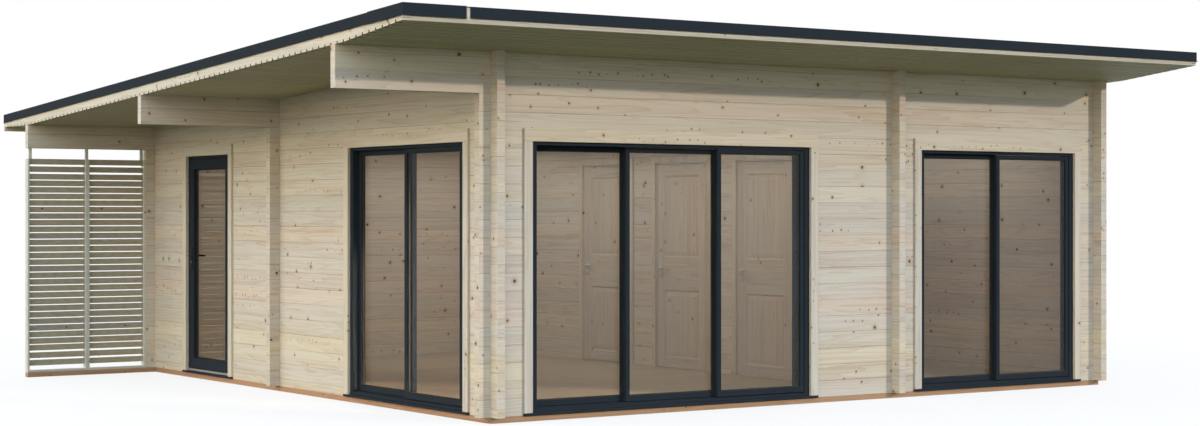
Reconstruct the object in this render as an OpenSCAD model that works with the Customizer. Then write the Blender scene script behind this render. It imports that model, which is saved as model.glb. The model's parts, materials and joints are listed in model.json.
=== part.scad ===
// Log garden house with a pent roof that falls to the back. The logs cross and
// run past each other at the corners. A partition with three panelled doors
// divides the inside. The front and the left wall have glazed sliding doors,
// the left wall also the entrance. Beside the house the roof rests on three
// beams and on a louvred screen in line with the back wall.

/* [House] */
// Length of the front wall over the outer faces of the side walls
house_w = 6550; // [6350:10:7400]
// Depth over the outer faces of the front and back walls
house_d = 6477; // [6300:1:7200]
// Distance from the front to the purlin in the middle
tie_y = 3589; // [3200:1:4200]
// Height of the front wall over the openings, up to the roof's underside
lintel_h = 665; // [600:1:800]

/* [Logs] */
// Thickness of the logs
log_t = 70; // [58:1:80]
// Visible height of one log
log_h = 135; // [128:1:140]
// How far the log ends run past a crossing
log_end = 98; // [60:1:120]
// Depth of the V joint between two logs
groove_d = 5; // [2:0.5:10]
// Half the height of the V joint
groove_h = 5; // [2:0.5:10]
// Least height of a roof beam over the last whole course
beam_min = 190; // [160:5:220]
// Height of the impregnated bearers under the walls
bearer_h = 45; // [35:1:70]

/* [Floor] */
// Thickness of the floor boards
floor_t = 19; // [16:1:28]
// Width of a floor joist
joist_w = 45; // [35:1:70]
// Largest distance between floor joists
joist_pitch = 620; // [450:10:800]

/* [Roof] */
// Slope of the roof towards the back, as fall over length
roof_slope = 0.0563; // [0.03:0.0001:0.07]
// Thickness of the roof over the walls
roof_t = 157; // [130:1:200]
// Overhang over the terrace on the left, to the fascia's face
over_left = 1300; // [900:10:1500]
// Overhang on the right
over_right = 168; // [120:1:400]
// Overhang at the front
over_front = 995; // [700:5:1200]
// Overhang at the back
over_back = 615; // [300:5:800]
// Thickness left at the front edge, where the underside rises
edge_t = 113; // [100:1:125]
// Distance in front of the wall where the underside starts to rise
taper_start = 150; // [120:10:300]
// Thickness of the roof boards
roof_board_t = 18; // [15:1:25]
// Thickness of the roof covering
cover_t = 5; // [2:1:10]
// Thickness of the fascia boards
fascia_t = 20; // [15:1:28]
// How far the back fascia hangs below the underside
fascia_drop = 40; // [10:1:60]
// Height of the metal edge trim
trim_h = 78; // [60:1:90]
// Thickness of the metal edge trim
trim_t = 3; // [1.5:0.5:5]
// Width of the edge trim's flange on the roof
trim_flange = 60; // [30:5:100]
// Length of the corner trim's legs
corner_len = 500; // [300:10:700]
// Gap between the corner trim and the front trim
corner_gap = 30; // [10:1:60]

/* [Openings] */
// Top of the openings for the frames
opening_top = 2124; // [2050:1:2150]
// Left edge of the triple sliding door
triple_x = 366; // [320:1:500]
// Width of the triple sliding door
triple_w = 2736; // [2400:1:2900]
// Distance from the right wall's outer face to the double sliding door
double_margin = 329; // [280:1:400]
// Width of the double sliding door
double_w = 1882; // [1600:1:1950]
// Distance from the double sliding door to the partition
partition_gap = 259; // [200:1:400]
// Front edge of the sliding door in the left wall
side_y = 379; // [320:1:500]
// Width of the sliding door in the left wall
side_w = 1882; // [1600:1:2000]
// Front edge of the entrance
entrance_y = 4645; // [4600:1:4750]
// Width of the entrance
entrance_w = 967; // [900:1:1000]

/* [Glazed doors] */
// Face width of a sliding door's outer frame
frame_face = 50; // [25:1:60]
// Height of the frame's head
head_h = 26; // [20:1:40]
// Height of the frame's bottom track
track_h = 25; // [18:1:35]
// Distance between two tracks
track_pitch = 55; // [48:1:60]
// Height of the rail that a leaf rolls on
rail_h = 8; // [6:1:12]
// Width of that rail
rail_w = 6; // [4:1:10]
// Thickness of a sliding leaf
leaf_t = 40; // [32:1:42]
// Face width of a leaf's stiles
stile_w = 38; // [32:1:55]
// Height of a leaf's top rail
top_rail = 30; // [25:1:50]
// Height of a leaf's bottom rail
bottom_rail = 44; // [35:1:70]
// Thickness of the glass units
glass_t = 20; // [12:1:28]
// Clearance round a moving leaf
leaf_gap = 5; // [5:0.5:8]
// Setback of the frames from the wall's outer face
setback = 5; // [2:1:10]

/* [Entrance] */
// Setback of the entrance from the wall's outer face
entry_in = 11; // [5:1:20]
// Thickness of the entrance door's leaf
entry_t = 55; // [44:1:64]
// Depth of the entrance frame
entry_depth = 90; // [80:1:110]
// Face width of the entrance frame
entry_face = 25; // [20:1:45]
// Width of the entrance leaf's stiles
entry_stile = 90; // [60:1:110]
// Height of the entrance leaf's top rail
entry_top = 95; // [60:1:110]
// Height of the entrance leaf's bottom rail
entry_bottom = 95; // [60:1:140]
// Distance from the leaf's outer face to its glass
entry_glass_in = 32; // [12:1:40]
// Width of the stop that the leaf closes against
stop_w = 12; // [8:1:20]
// Height of the handle over the house's base
handle_z = 1170; // [1000:5:1250]
// Length of the handle's lever
handle_len = 115; // [100:5:140]
// Distance from the leaf's face to the end of the handle
handle_back = 45; // [40:1:60]

/* [Inner doors] */
// Distance from the front to the middle of the first inner door
inner_y = 1730; // [1650:5:1800]
// Distance between inner doors
inner_pitch = 1290; // [1150:5:1350]
// Width of an inner door's leaf
inner_w = 800; // [730:5:830]
// Top of an inner door's leaf
inner_top = 2055; // [1950:5:2080]
// Gap under an inner door's leaf
inner_under = 8; // [5:1:15]
// Thickness of an inner door's leaf
inner_t = 40; // [35:1:50]
// Thickness of the door lining
lining_t = 28; // [20:1:35]
// Width of the architrave boards
architrave_w = 60; // [40:1:80]
// Thickness of the architrave boards
architrave_t = 15; // [10:1:20]
// Width of an inner door's stiles
inner_stile = 118; // [90:1:140]
// Depth of the door panels
panel_d = 9; // [4:1:12]
// Bottom and top of the lower panel
panel_low = [170, 830];
// Bottom and top of the upper panel
panel_high = [1150, 1945];

/* [Casings] */
// Width of the casing boards beside the frames
casing_w = 76; // [60:1:90]
// Height of the casing board over the frames
casing_h = 101; // [80:1:120]
// Thickness of the casing boards
casing_t = 20; // [15:1:25]
// How far a sill stands out from the casing
sill_nose = 4; // [1:1:10]

/* [Screen] */
// Width of the screen's side boards
screen_side = 28; // [20:1:40]
// Height of the bottom rail
screen_rail = 21; // [18:1:40]
// Number of slats
slat_count = 31; // [24:1:33]
// Height of one slat
slat_h = 52; // [40:1:56]
// Depth of one slat
slat_d = 18; // [12:1:28]
// Gap over the bottom rail
slat_start = 42; // [20:1:60]
// How much wider the gaps beside the two highest and the two lowest slats are
wide_gap = 9; // [0:1:12]
// Gap over the highest slat
top_gap = 101; // [40:1:200]
// Width of the battens in that gap
batten_w = 30; // [20:1:40]

/* [Hardware] */
// Radius of the hinge knuckles
knuckle_r = 7; // [5:0.5:9]
// Gap between the hinge knuckles and the door's face
knuckle_gap = 1; // [0.5:0.5:3]
// Length of one knuckle
knuckle_h = 45; // [30:1:60]
// Play between two knuckles
knuckle_play = 0.3; // [0.2:0.05:0.5]

/* [Hidden] */

// small overlap of a cutting shape past the face it cuts
cut = 2;
base_z = bearer_h;
floor_z = bearer_h + floor_t;
right_x = house_w - log_t;
back_y = house_d - log_t;
front_h = opening_top + lintel_h;
double_x = house_w - double_margin - double_w;
partition_x = double_x - partition_gap - log_t;

// roof edges at the fascia's faces
roof_left = -over_left;
roof_right = house_w + over_right;
roof_front = -over_front;
roof_back = house_d + over_back;
back_soffit = front_h - roof_slope * back_y;
trim_out = 2 * trim_t;
// highest point of the roof, with its trim
peak_z = top_z(roof_front - trim_out) + 2 * trim_t;

// middle of the whole object's plan
mid_x = (roof_left - trim_out + roof_right + trim_t) / 2;
mid_y = (roof_front - trim_out + roof_back + trim_t) / 2;

// underside of the beam at y, on the last whole course that leaves it its height
function beam_z(y) = base_z + floor((under_z(y) - base_z - beam_min) / log_h) * log_h;
front_beam_z = beam_z(0);
middle_beam_z = beam_z(tie_y);
back_beam_z = beam_z(back_y);

// lines where walls cross: X of the side walls, Y of the cross walls
side_lines = [0, partition_x, right_x];
cross_lines = [0, back_y];

// frames: depth for a number of tracks
function frame_depth(tracks) = tracks * track_pitch + leaf_gap;
leaf_bottom = floor_z + track_h + rail_h + knuckle_play;
leaf_top = opening_top - head_h - leaf_gap;
function leaf_width(w, count) =
    (w - 2 * frame_face - 2 * leaf_gap + (count - 1) * stile_w) / count;

// distance from a hinged leaf's face to its pivot
hinge_out = knuckle_r + knuckle_gap;
// gap beside a hinged leaf, which keeps its clearance while its inner corner
// swings past the jamb
function swing_gap(t, w) = leaf_gap + pow(t + hinge_out, 2) / (2 * w);

// entrance leaf
entry_gap = swing_gap(entry_t, entrance_w);
entry_y0 = entrance_y + entry_face + entry_gap;
entry_w = entrance_w - 2 * entry_face - 2 * entry_gap;
entry_z0 = floor_z + track_h + leaf_gap;
entry_z1 = opening_top - entry_face - leaf_gap;
entry_pivot = [entry_in - hinge_out, entry_y0 - entry_gap / 2];

// inner doors
inner_gap = swing_gap(inner_t, inner_w);
inner_open_w = inner_w + 2 * inner_gap + 2 * lining_t;
inner_open_top = inner_top + leaf_gap + lining_t;
inner_z0 = floor_z + inner_under;
inner_lines = [for (k = [0:2]) inner_y + k * inner_pitch];

screen_w = over_left - log_end;
slat_top = back_beam_z - top_gap;

function under_z(y) = front_h - roof_slope * min(y, back_y);
function top_z(y) = front_h + roof_t - roof_slope * y;

module placed() {
    translate([-mid_x, -mid_y, 0]) children();
}

// ---- logs ----

// Upright section of a log wall: V joints on both faces at every course.
module log_section(z0, z1, first_joint) {
    difference() {
        translate([0, z0]) square([log_t, z1 - z0]);
        for (z = [first_joint:log_h:z1 - groove_h])
            if (z > z0 + groove_h)
                for (side = [0, 1])
                    translate([side * log_t, z])
                        polygon([[-groove_d * side, 0], [0, -groove_h],
                            [groove_d * (1 - side), 0], [0, groove_h]]);
    }
}

// Wall that runs along X, with its outer face at y.
module x_wall(x0, x1, y, z0, z1) {
    translate([x0, y, 0]) rotate([90, 0, 90])
        linear_extrude(x1 - x0) log_section(z0, z1, base_z + log_h);
}

// Wall that runs along Y, with its left face at x.
module y_wall(x, y0, y1, z0, z1) {
    translate([x, y1, 0]) rotate([90, 0, 0])
        linear_extrude(y1 - y0) log_section(z0, z1, base_z + log_h / 2);
}

// At a crossing the logs of both walls are notched by a quarter of their
// height, so bands of half a log belong to one wall and the other in turn.
function band_z(k) = k == 0 ? base_z : base_z + log_h / 4 + (k - 1) * log_h / 2;
function band_end(k) = base_z + log_h / 4 + k * log_h / 2;
last_band = ceil(2 * (front_h + roof_t) / log_h);

// Bands at column (x, y) that the walls along Y own, cut out of a wall along X.
module cut_for_y_walls(x, y, z0, z1) {
    for (k = [0:2:last_band])
        if (band_end(k) > z0 && band_z(k) < z1)
            translate([x, y - cut, band_z(k)])
                cube([log_t, log_t + 2 * cut, band_end(k) - band_z(k)]);
}

// Bands at column (x, y) that the walls along X own, cut out of a wall along Y.
module cut_for_x_walls(x, y, z0, z1) {
    for (k = [1:2:last_band])
        if (band_end(k) > z0 && band_z(k) < z1)
            translate([x - cut, y, max(band_z(k), z0 - cut)])
                cube([log_t + 2 * cut, log_t, band_end(k) - max(band_z(k), z0 - cut)]);
}

// Everything below the roof, for the walls that follow its slope.
module below_roof(x0, x1) {
    translate([x0, 0, 0]) rotate([90, 0, 90]) linear_extrude(x1 - x0)
        polygon([[-log_end - cut, 0], [house_d + log_end + cut, 0],
            [house_d + log_end + cut, back_soffit], [back_y, back_soffit],
            [-log_end - cut, under_z(-log_end - cut)]]);
}

// Wall along Y, notched at the front, tie and back lines.
module notched_y_wall(x, y0, y1, z0, z1, tie_from) {
    difference() {
        y_wall(x, y0, y1, z0, z1);
        for (y = cross_lines)
            if (y >= y0 && y < y1) cut_for_x_walls(x, y, z0, z1);
        if (tie_y >= y0 && tie_y < y1)
            cut_for_x_walls(x, tie_y, max(z0, tie_from), z1);
    }
}

// Wall along X, notched at every side wall that it crosses.
module notched_x_wall(x0, x1, y, z0, z1) {
    difference() {
        x_wall(x0, x1, y, z0, z1);
        for (x = side_lines)
            if (x >= x0 && x < x1) cut_for_y_walls(x, y, z0, z1);
    }
}

// ---- base and floor ----

module front_bearer() placed() color("peru") {
    cube([house_w, log_t, bearer_h]);
}

module back_bearer() placed() color("peru") {
    translate([roof_left, back_y, 0]) cube([over_left + house_w, log_t, bearer_h]);
}

module side_bearers() placed() color("peru") {
    for (x = side_lines)
        translate([x, log_t, 0]) cube([log_t, back_y - log_t, bearer_h]);
}

module joist_row(x0, x1) {
    bays = ceil((x1 - x0) / joist_pitch);
    for (k = [1:bays - 1])
        translate([x0 + k * (x1 - x0) / bays - joist_w / 2, log_t, 0])
            cube([joist_w, back_y - log_t, bearer_h]);
}

module floor_joists() placed() color("tan") {
    joist_row(log_t, partition_x);
    joist_row(partition_x + log_t, right_x);
}

// Floor boards of the two rooms, cut round the tie logs.
module floor() placed() color("burlywood") difference() {
    for (room = [[log_t, partition_x], [partition_x + log_t, right_x]])
        translate([room[0], log_t, base_z])
            cube([room[1] - room[0], back_y - log_t, floor_t]);
    for (x = [0, right_x])
        translate([x - log_end, tie_y, base_z - cut])
            cube([log_t + 2 * log_end, log_t, floor_t + 2 * cut]);
}

// ---- walls ----

module front_wall_piers() placed() color("wheat") {
    notched_x_wall(-log_end, triple_x, 0, base_z, opening_top);
    notched_x_wall(triple_x + triple_w, double_x, 0, base_z, opening_top);
    notched_x_wall(double_x + double_w, house_w + log_end, 0, base_z, opening_top);
}

module front_wall_top() placed() color("wheat") {
    notched_x_wall(-log_end, house_w + log_end, 0, opening_top, front_beam_z);
}

module left_wall_piers() placed() color("wheat") {
    notched_y_wall(0, -log_end, side_y, base_z, opening_top, 0);
    notched_y_wall(0, side_y + side_w, entrance_y, base_z, opening_top, 0);
    notched_y_wall(0, entrance_y + entrance_w, house_d + log_end, base_z, opening_top, 0);
}

module left_wall_top() placed() color("wheat") {
    intersection() {
        notched_y_wall(0, -log_end, house_d + log_end, opening_top, front_h + log_h, 0);
        below_roof(-cut, log_t + cut);
    }
}

module right_wall() placed() color("wheat") {
    intersection() {
        notched_y_wall(right_x, -log_end, house_d + log_end, base_z, front_h + log_h, 0);
        below_roof(right_x - cut, house_w + cut);
    }
}

module back_wall() placed() color("wheat") {
    notched_x_wall(-log_end, house_w + log_end, back_y, base_z, back_beam_z);
}

module partition_piers() placed() color("wheat") {
    edges = concat([-log_end],
        [for (y = inner_lines, s = [-1, 1]) y + s * inner_open_w / 2],
        [house_d + log_end]);
    for (k = [0:len(inner_lines)])
        notched_y_wall(partition_x, edges[2 * k], edges[2 * k + 1],
            base_z, inner_open_top, middle_beam_z);
}

module partition_top() placed() color("wheat") {
    intersection() {
        notched_y_wall(partition_x, -log_end, house_d + log_end,
            inner_open_top, front_h + log_h, middle_beam_z);
        below_roof(partition_x - cut, partition_x + log_t + cut);
    }
}

// Short logs that tie the side walls under the middle beam.
module tie_log_ends() placed() color("wheat") {
    for (x = [0, right_x])
        notched_x_wall(x - log_end, x + log_t + log_end, tie_y, base_z, middle_beam_z);
}

// ---- beams ----

// Beam of logs along X under the sloping roof, notched over the side walls.
module roof_beam(y, z0) {
    difference() {
        translate([roof_left, y, 0]) rotate([90, 0, 90])
            linear_extrude(over_left + house_w + log_end) intersection() {
                log_section(z0, under_z(y), z0 + log_h);
                polygon([[0, z0], [log_t, z0], [log_t, under_z(y + log_t)],
                    [0, under_z(y)]]);
            }
        for (x = side_lines) cut_for_y_walls(x, y, z0, front_h + log_h);
    }
}

module front_beam() placed() color("wheat") roof_beam(0, front_beam_z);

module middle_beam() placed() color("wheat") roof_beam(tie_y, middle_beam_z);

module back_beam() placed() color("wheat") roof_beam(back_y, back_beam_z);

// ---- screen beside the house ----

first_slat_z = base_z + screen_rail + slat_start;
slat_pitch = (slat_top - slat_h - first_slat_z - 4 * wide_gap) / (slat_count - 1);

// Underside of slat k, with wider gaps between the three lowest slats and the
// three highest ones.
function slat_z(k) = first_slat_z + k * slat_pitch
    + wide_gap * (min(k, 2) + max(k - (slat_count - 3), 0));

module screen_bay(x0, x1) {
    for (x = [x0, x1 - screen_side])
        translate([x, back_y, base_z]) cube([screen_side, log_t, slat_top - base_z]);
    translate([x0, back_y, base_z]) cube([x1 - x0, log_t, screen_rail]);
    for (k = [0:slat_count - 1])
        translate([x0 + screen_side, back_y + (log_t - slat_d) / 2, slat_z(k)])
            cube([x1 - x0 - 2 * screen_side, slat_d, slat_h]);
}

module privacy_screen() placed() color("tan") {
    middle = roof_left + screen_w / 2;
    screen_bay(roof_left, middle);
    screen_bay(middle, -log_end);
    for (x = [roof_left + screen_side, middle - batten_w / 2,
            -log_end - screen_side - batten_w])
        translate([x, back_y + (log_t - slat_d) / 2, slat_top])
            cube([batten_w, slat_d, back_beam_z - slat_top]);
}

// ---- roof ----

// Side view of the roof between a height over its underside and a depth
// under its top, from the front edge to the back edge.
module roof_section(over_under, below_top, y0, y1) {
    rise = [[y0, top_z(roof_front) - edge_t + over_under],
        [-taper_start, under_z(-taper_start) + over_under],
        [back_y, back_soffit + over_under], [y1, back_soffit + over_under]];
    polygon(concat(rise, [[y1, top_z(y1) - below_top], [y0, top_z(y0) - below_top]]));
}

// Slab that follows the roof's top, between two depths under it.
module top_slab(x0, x1, y0, y1, depth0, depth1) {
    translate([x0, 0, 0]) rotate([90, 0, 90]) linear_extrude(x1 - x0)
        polygon([[y0, top_z(y0) - depth0], [y1, top_z(y1) - depth0],
            [y1, top_z(y1) - depth1], [y0, top_z(y0) - depth1]]);
}

module roof_inside(inset) {
    translate([roof_left + inset, roof_front + inset, 0])
        cube([roof_right - roof_left - 2 * inset, roof_back - roof_front - 2 * inset, peak_z]);
}

module roof_boards() placed() color("darkkhaki") {
    translate([roof_left, 0, 0]) rotate([90, 0, 90])
        linear_extrude(roof_right - roof_left) polygon([
            [roof_front, top_z(roof_front) - edge_t],
            [-taper_start, under_z(-taper_start)], [back_y, back_soffit],
            [roof_back - fascia_t, back_soffit],
            [roof_back - fascia_t, back_soffit + roof_board_t],
            [back_y, back_soffit + roof_board_t],
            [-taper_start, under_z(-taper_start) + roof_board_t],
            [roof_front, top_z(roof_front) - edge_t + roof_board_t]]);
}

module roof_body() {
    translate([roof_left, 0, 0]) rotate([90, 0, 90])
        linear_extrude(roof_right - roof_left)
            roof_section(roof_board_t, cover_t, roof_front, roof_back);
}

module roof_core() placed() color("khaki") {
    intersection() {
        roof_body();
        roof_inside(fascia_t);
    }
}

module roof_covering() placed() color("dimgray") {
    top_slab(roof_left, roof_right, roof_front, roof_back, 0, cover_t);
}

module roof_fascia() placed() color("ivory") {
    difference() {
        roof_body();
        roof_inside(fascia_t);
    }
    translate([roof_left, roof_back - fascia_t, back_soffit - fascia_drop])
        cube([roof_right - roof_left, fascia_t, fascia_drop + 2 * roof_board_t]);
}

module edge_trim() placed() color("darkslategray") {
    difference() {
        top_slab(roof_left - trim_t, roof_right + trim_t,
            roof_front - trim_t, roof_back + trim_t, -trim_t, trim_h - trim_t);
        difference() {
            roof_inside(0);
            top_slab(roof_left, roof_right, roof_front, roof_back, -2 * trim_t, 0);
        }
        roof_inside(trim_flange);
        translate([roof_left + corner_len, roof_front - 2 * trim_t, 0])
            cube([corner_gap, 2 * trim_t, peak_z]);
    }
}

module corner_trim() placed() color("darkslategray") {
    x0 = roof_left - trim_out;
    y0 = roof_front - trim_out;
    difference() {
        top_slab(x0, roof_left + corner_len, y0, roof_front + corner_len,
            -2 * trim_t, trim_h);
        difference() {
            translate([roof_left - trim_t, roof_front - trim_t, 0])
                cube([2 * corner_len, 2 * corner_len, peak_z]);
            top_slab(x0, roof_left + corner_len, y0, roof_front + corner_len,
                -2 * trim_t, -trim_t);
        }
        translate([roof_left + trim_flange, roof_front + trim_flange, 0])
            cube([2 * corner_len, 2 * corner_len, peak_z]);
    }
}

// ---- casings and sills ----

// An opening in the front wall, drawn in its own frame: x along the wall, y
// into the house, and from_left() lays the same shape onto the left wall.
module from_left(y_near, w) {
    translate([0, y_near, 0]) mirror([1, 0, 0]) rotate([0, 0, 90]) children();
}

module casing(w) {
    for (x = [-casing_w, w])
        translate([x, -casing_t, floor_z])
            cube([casing_w, casing_t, opening_top - floor_z]);
    translate([-casing_w, -casing_t, opening_top])
        cube([w + 2 * casing_w, casing_t, casing_h]);
}

module door_casings() placed() color("cornsilk") {
    translate([triple_x, 0, 0]) casing(triple_w);
    translate([double_x, 0, 0]) casing(double_w);
    from_left(side_y, side_w) casing(side_w);
    from_left(entrance_y, entrance_w) casing(entrance_w);
}

module sill(w) {
    nose = casing_t + sill_nose;
    translate([0, -nose, base_z]) cube([w, log_t + nose, floor_t]);
    translate([-casing_w, -nose, base_z]) cube([w + 2 * casing_w, nose, floor_t]);
}

module door_sills() placed() color("darkslategray") {
    translate([triple_x, 0, 0]) sill(triple_w);
    translate([double_x, 0, 0]) sill(double_w);
    from_left(side_y, side_w) sill(side_w);
    from_left(entrance_y, entrance_w) sill(entrance_w);
}

// ---- sliding doors ----

// Place of a track: its leaf's outer face. Track 0 is the outermost.
function leaf_y(track) = setback + leaf_gap + track * track_pitch;

module sliding_frame(w, tracks) {
    depth = frame_depth(tracks);
    difference() {
        translate([0, setback, floor_z]) cube([w, depth, opening_top - floor_z]);
        translate([frame_face, setback - cut, floor_z + track_h])
            cube([w - 2 * frame_face, depth + 2 * cut,
                opening_top - head_h - floor_z - track_h]);
    }
    for (k = [0:tracks - 1])
        translate([frame_face, leaf_y(k) + (leaf_t - rail_w) / 2, floor_z + track_h])
            cube([w - 2 * frame_face, rail_w, rail_h]);
}

module leaf_shape(x0, w, y, z0, z1, bottom, top) {
    difference() {
        translate([x0, y, z0]) cube([w, leaf_t, z1 - z0]);
        translate([x0 + stile_w, y - cut, z0 + bottom])
            cube([w - 2 * stile_w, leaf_t + 2 * cut, z1 - z0 - bottom - top]);
    }
}

module pane(x0, w, y, z0, z1, bottom, top) {
    translate([x0 + stile_w, y + (leaf_t - glass_t) / 2, z0 + bottom])
        cube([w - 2 * stile_w, glass_t, z1 - z0 - bottom - top]);
}

// Left edge of the leaf at a place counted from the left. The first one is
// fixed to the jamb, the others keep their clearance.
function leaf_x(place, w, count) = place == 0
    ? frame_face
    : frame_face + leaf_gap + place * (leaf_width(w, count) - stile_w);

module moving_leaf(place, w, count, track) {
    leaf_shape(leaf_x(place, w, count), leaf_width(w, count), leaf_y(track),
        leaf_bottom, leaf_top, bottom_rail, top_rail);
}

module moving_pane(place, w, count, track) {
    pane(leaf_x(place, w, count), leaf_width(w, count), leaf_y(track),
        leaf_bottom, leaf_top, bottom_rail, top_rail);
}

// A fixed leaf fills the innermost track from the rail to the head and touches
// the jamb.
module fixed_leaf(w, count) {
    leaf_shape(frame_face, leaf_width(w, count) + leaf_gap, leaf_y(count - 1),
        leaf_bottom - knuckle_play, leaf_top + leaf_gap,
        bottom_rail + knuckle_play, top_rail + leaf_gap);
}

module fixed_pane(w, count) {
    pane(frame_face, leaf_width(w, count) + leaf_gap, leaf_y(count - 1),
        leaf_bottom - knuckle_play, leaf_top + leaf_gap,
        bottom_rail + knuckle_play, top_rail + leaf_gap);
}

// The left wall's door is seen from outside with its front end on the right,
// so its leaves are laid out from the back end.
module side_door_place() {
    translate([0, side_y + side_w, 0]) rotate([0, 0, -90]) children();
}

module triple_frame() placed() color("darkslategray") {
    translate([triple_x, 0, 0]) sliding_frame(triple_w, 3);
}

module double_frame() placed() color("darkslategray") {
    translate([double_x, 0, 0]) sliding_frame(double_w, 2);
}

module side_frame() placed() color("darkslategray") {
    side_door_place() sliding_frame(side_w, 2);
}

module fixed_leaves() placed() color("darkslategray") {
    translate([triple_x, 0, 0]) fixed_leaf(triple_w, 3);
    translate([double_x, 0, 0]) fixed_leaf(double_w, 2);
    side_door_place() fixed_leaf(side_w, 2);
}

module fixed_glass() placed() color("lightsteelblue") {
    translate([triple_x, 0, 0]) fixed_pane(triple_w, 3);
    translate([double_x, 0, 0]) fixed_pane(double_w, 2);
    side_door_place() fixed_pane(side_w, 2);
}

module triple_middle_leaf() placed() color("darkslategray") {
    translate([triple_x, 0, 0]) moving_leaf(1, triple_w, 3, 1);
}

module triple_middle_glass() placed() color("lightsteelblue") {
    translate([triple_x, 0, 0]) moving_pane(1, triple_w, 3, 1);
}

module triple_right_leaf() placed() color("darkslategray") {
    translate([triple_x, 0, 0]) moving_leaf(2, triple_w, 3, 0);
}

module triple_right_glass() placed() color("lightsteelblue") {
    translate([triple_x, 0, 0]) moving_pane(2, triple_w, 3, 0);
}

module double_leaf() placed() color("darkslategray") {
    translate([double_x, 0, 0]) moving_leaf(1, double_w, 2, 0);
}

module double_glass() placed() color("lightsteelblue") {
    translate([double_x, 0, 0]) moving_pane(1, double_w, 2, 0);
}

module side_leaf() placed() color("darkslategray") {
    side_door_place() moving_leaf(1, side_w, 2, 0);
}

module side_glass() placed() color("lightsteelblue") {
    side_door_place() moving_pane(1, side_w, 2, 0);
}

// ---- hinges ----

// One knuckle in front of a door's face: a round barrel at the origin and its
// flap, which reaches back to the face on the side given.
module knuckle(side) {
    cylinder(h = knuckle_h, r = knuckle_r, $fn = 32);
    translate([0, side > 0 ? 0 : -2 * knuckle_r, 0])
        cube([hinge_out, 2 * knuckle_r, knuckle_h]);
}

function hinge_heights(z0, z1) = [for (f = [0.12, 0.5, 0.88]) z0 + f * (z1 - z0)];

module leaf_knuckles(pivot, z0, z1) {
    for (z = hinge_heights(z0, z1))
        translate([pivot[0], pivot[1], z + knuckle_play / 2]) knuckle(1);
}

module frame_knuckles(pivot, z0, z1) {
    for (z = hinge_heights(z0, z1))
        translate([pivot[0], pivot[1], z - knuckle_play / 2 - knuckle_h]) knuckle(-1);
}

// ---- entrance ----

module entrance_frame() placed() color("darkslategray") {
    inner = entrance_w - 2 * entry_face;
    stop_y = entry_t + leaf_gap;
    difference() {
        translate([entry_in, entrance_y, floor_z])
            cube([entry_depth, entrance_w, opening_top - floor_z]);
        translate([entry_in - cut, entrance_y + entry_face, floor_z + track_h])
            cube([stop_y + cut, inner, opening_top - entry_face - floor_z - track_h]);
        translate([entry_in, entrance_y + entry_face + stop_w, floor_z + track_h])
            cube([entry_depth + cut, inner - 2 * stop_w,
                opening_top - entry_face - stop_w - floor_z - track_h]);
    }
    frame_knuckles(entry_pivot, entry_z0, entry_z1);
}

module entrance_door() placed() color("darkslategray") {
    difference() {
        translate([entry_in, entry_y0, entry_z0]) cube([entry_t, entry_w, entry_z1 - entry_z0]);
        translate([entry_in - cut, entry_y0 + entry_stile, entry_z0 + entry_bottom])
            cube([entry_t + 2 * cut, entry_w - 2 * entry_stile,
                entry_z1 - entry_z0 - entry_bottom - entry_top]);
    }
    leaf_knuckles(entry_pivot, entry_z0, entry_z1);
}

module entrance_glass() placed() color("lightsteelblue") {
    translate([entry_in + entry_glass_in, entry_y0 + entry_stile, entry_z0 + entry_bottom])
        cube([glass_t, entry_w - 2 * entry_stile,
            entry_z1 - entry_z0 - entry_bottom - entry_top]);
}

// Radius of the lever and size of the plate under it
handle_bar_r = 9;
plate_w = 32;
plate_h = 220;
plate_t = 8;

// Lever on a long plate, standing out along X in the sense given.
module lever(face_x, sense) {
    y = entry_y0 + entry_w - entry_stile / 2;
    translate([min(face_x, face_x + sense * plate_t), y - plate_w / 2,
        handle_z - plate_h * 0.6])
        cube([plate_t, plate_w, plate_h]);
    translate([min(face_x, face_x + sense * handle_back), y, handle_z])
        rotate([0, 90, 0]) cylinder(h = handle_back, r = handle_bar_r, $fn = 32);
    translate([face_x + sense * (handle_back - handle_bar_r), y + handle_bar_r, handle_z])
        rotate([90, 0, 0]) cylinder(h = handle_len, r = handle_bar_r, $fn = 32);
}

module entrance_handle() placed() color("black") {
    lever(entry_in, -1);
    lever(entry_in + entry_t, 1);
}

// ---- inner doors ----

function inner_pivot(y) = [partition_x - hinge_out, y - inner_w / 2 - inner_gap / 2];

module lining(y) {
    inside_w = inner_open_w - 2 * lining_t;
    difference() {
        translate([partition_x, y - inner_open_w / 2, base_z])
            cube([log_t, inner_open_w, inner_open_top - base_z]);
        translate([partition_x - cut, y - inside_w / 2, floor_z])
            cube([inner_t + leaf_gap + cut, inside_w, inner_open_top - lining_t - floor_z]);
        translate([partition_x, y - inside_w / 2 + stop_w, floor_z])
            cube([log_t + cut, inside_w - 2 * stop_w,
                inner_open_top - lining_t - stop_w - floor_z]);
    }
    difference() {
        translate([partition_x - architrave_t,
            y - inside_w / 2 - lining_t / 2 - architrave_w, floor_z])
            cube([architrave_t, inside_w + lining_t + 2 * architrave_w,
                inner_open_top - lining_t / 2 + architrave_w - floor_z]);
        translate([partition_x - architrave_t - cut,
            y - inside_w / 2 - lining_t / 2, floor_z - cut])
            cube([architrave_t + 2 * cut, inside_w + lining_t,
                inner_open_top - lining_t / 2 - floor_z + cut]);
    }
    frame_knuckles(inner_pivot(y), inner_z0, inner_top);
}

module inner_door_linings() placed() color("bisque") {
    for (y = inner_lines) lining(y);
}

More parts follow.
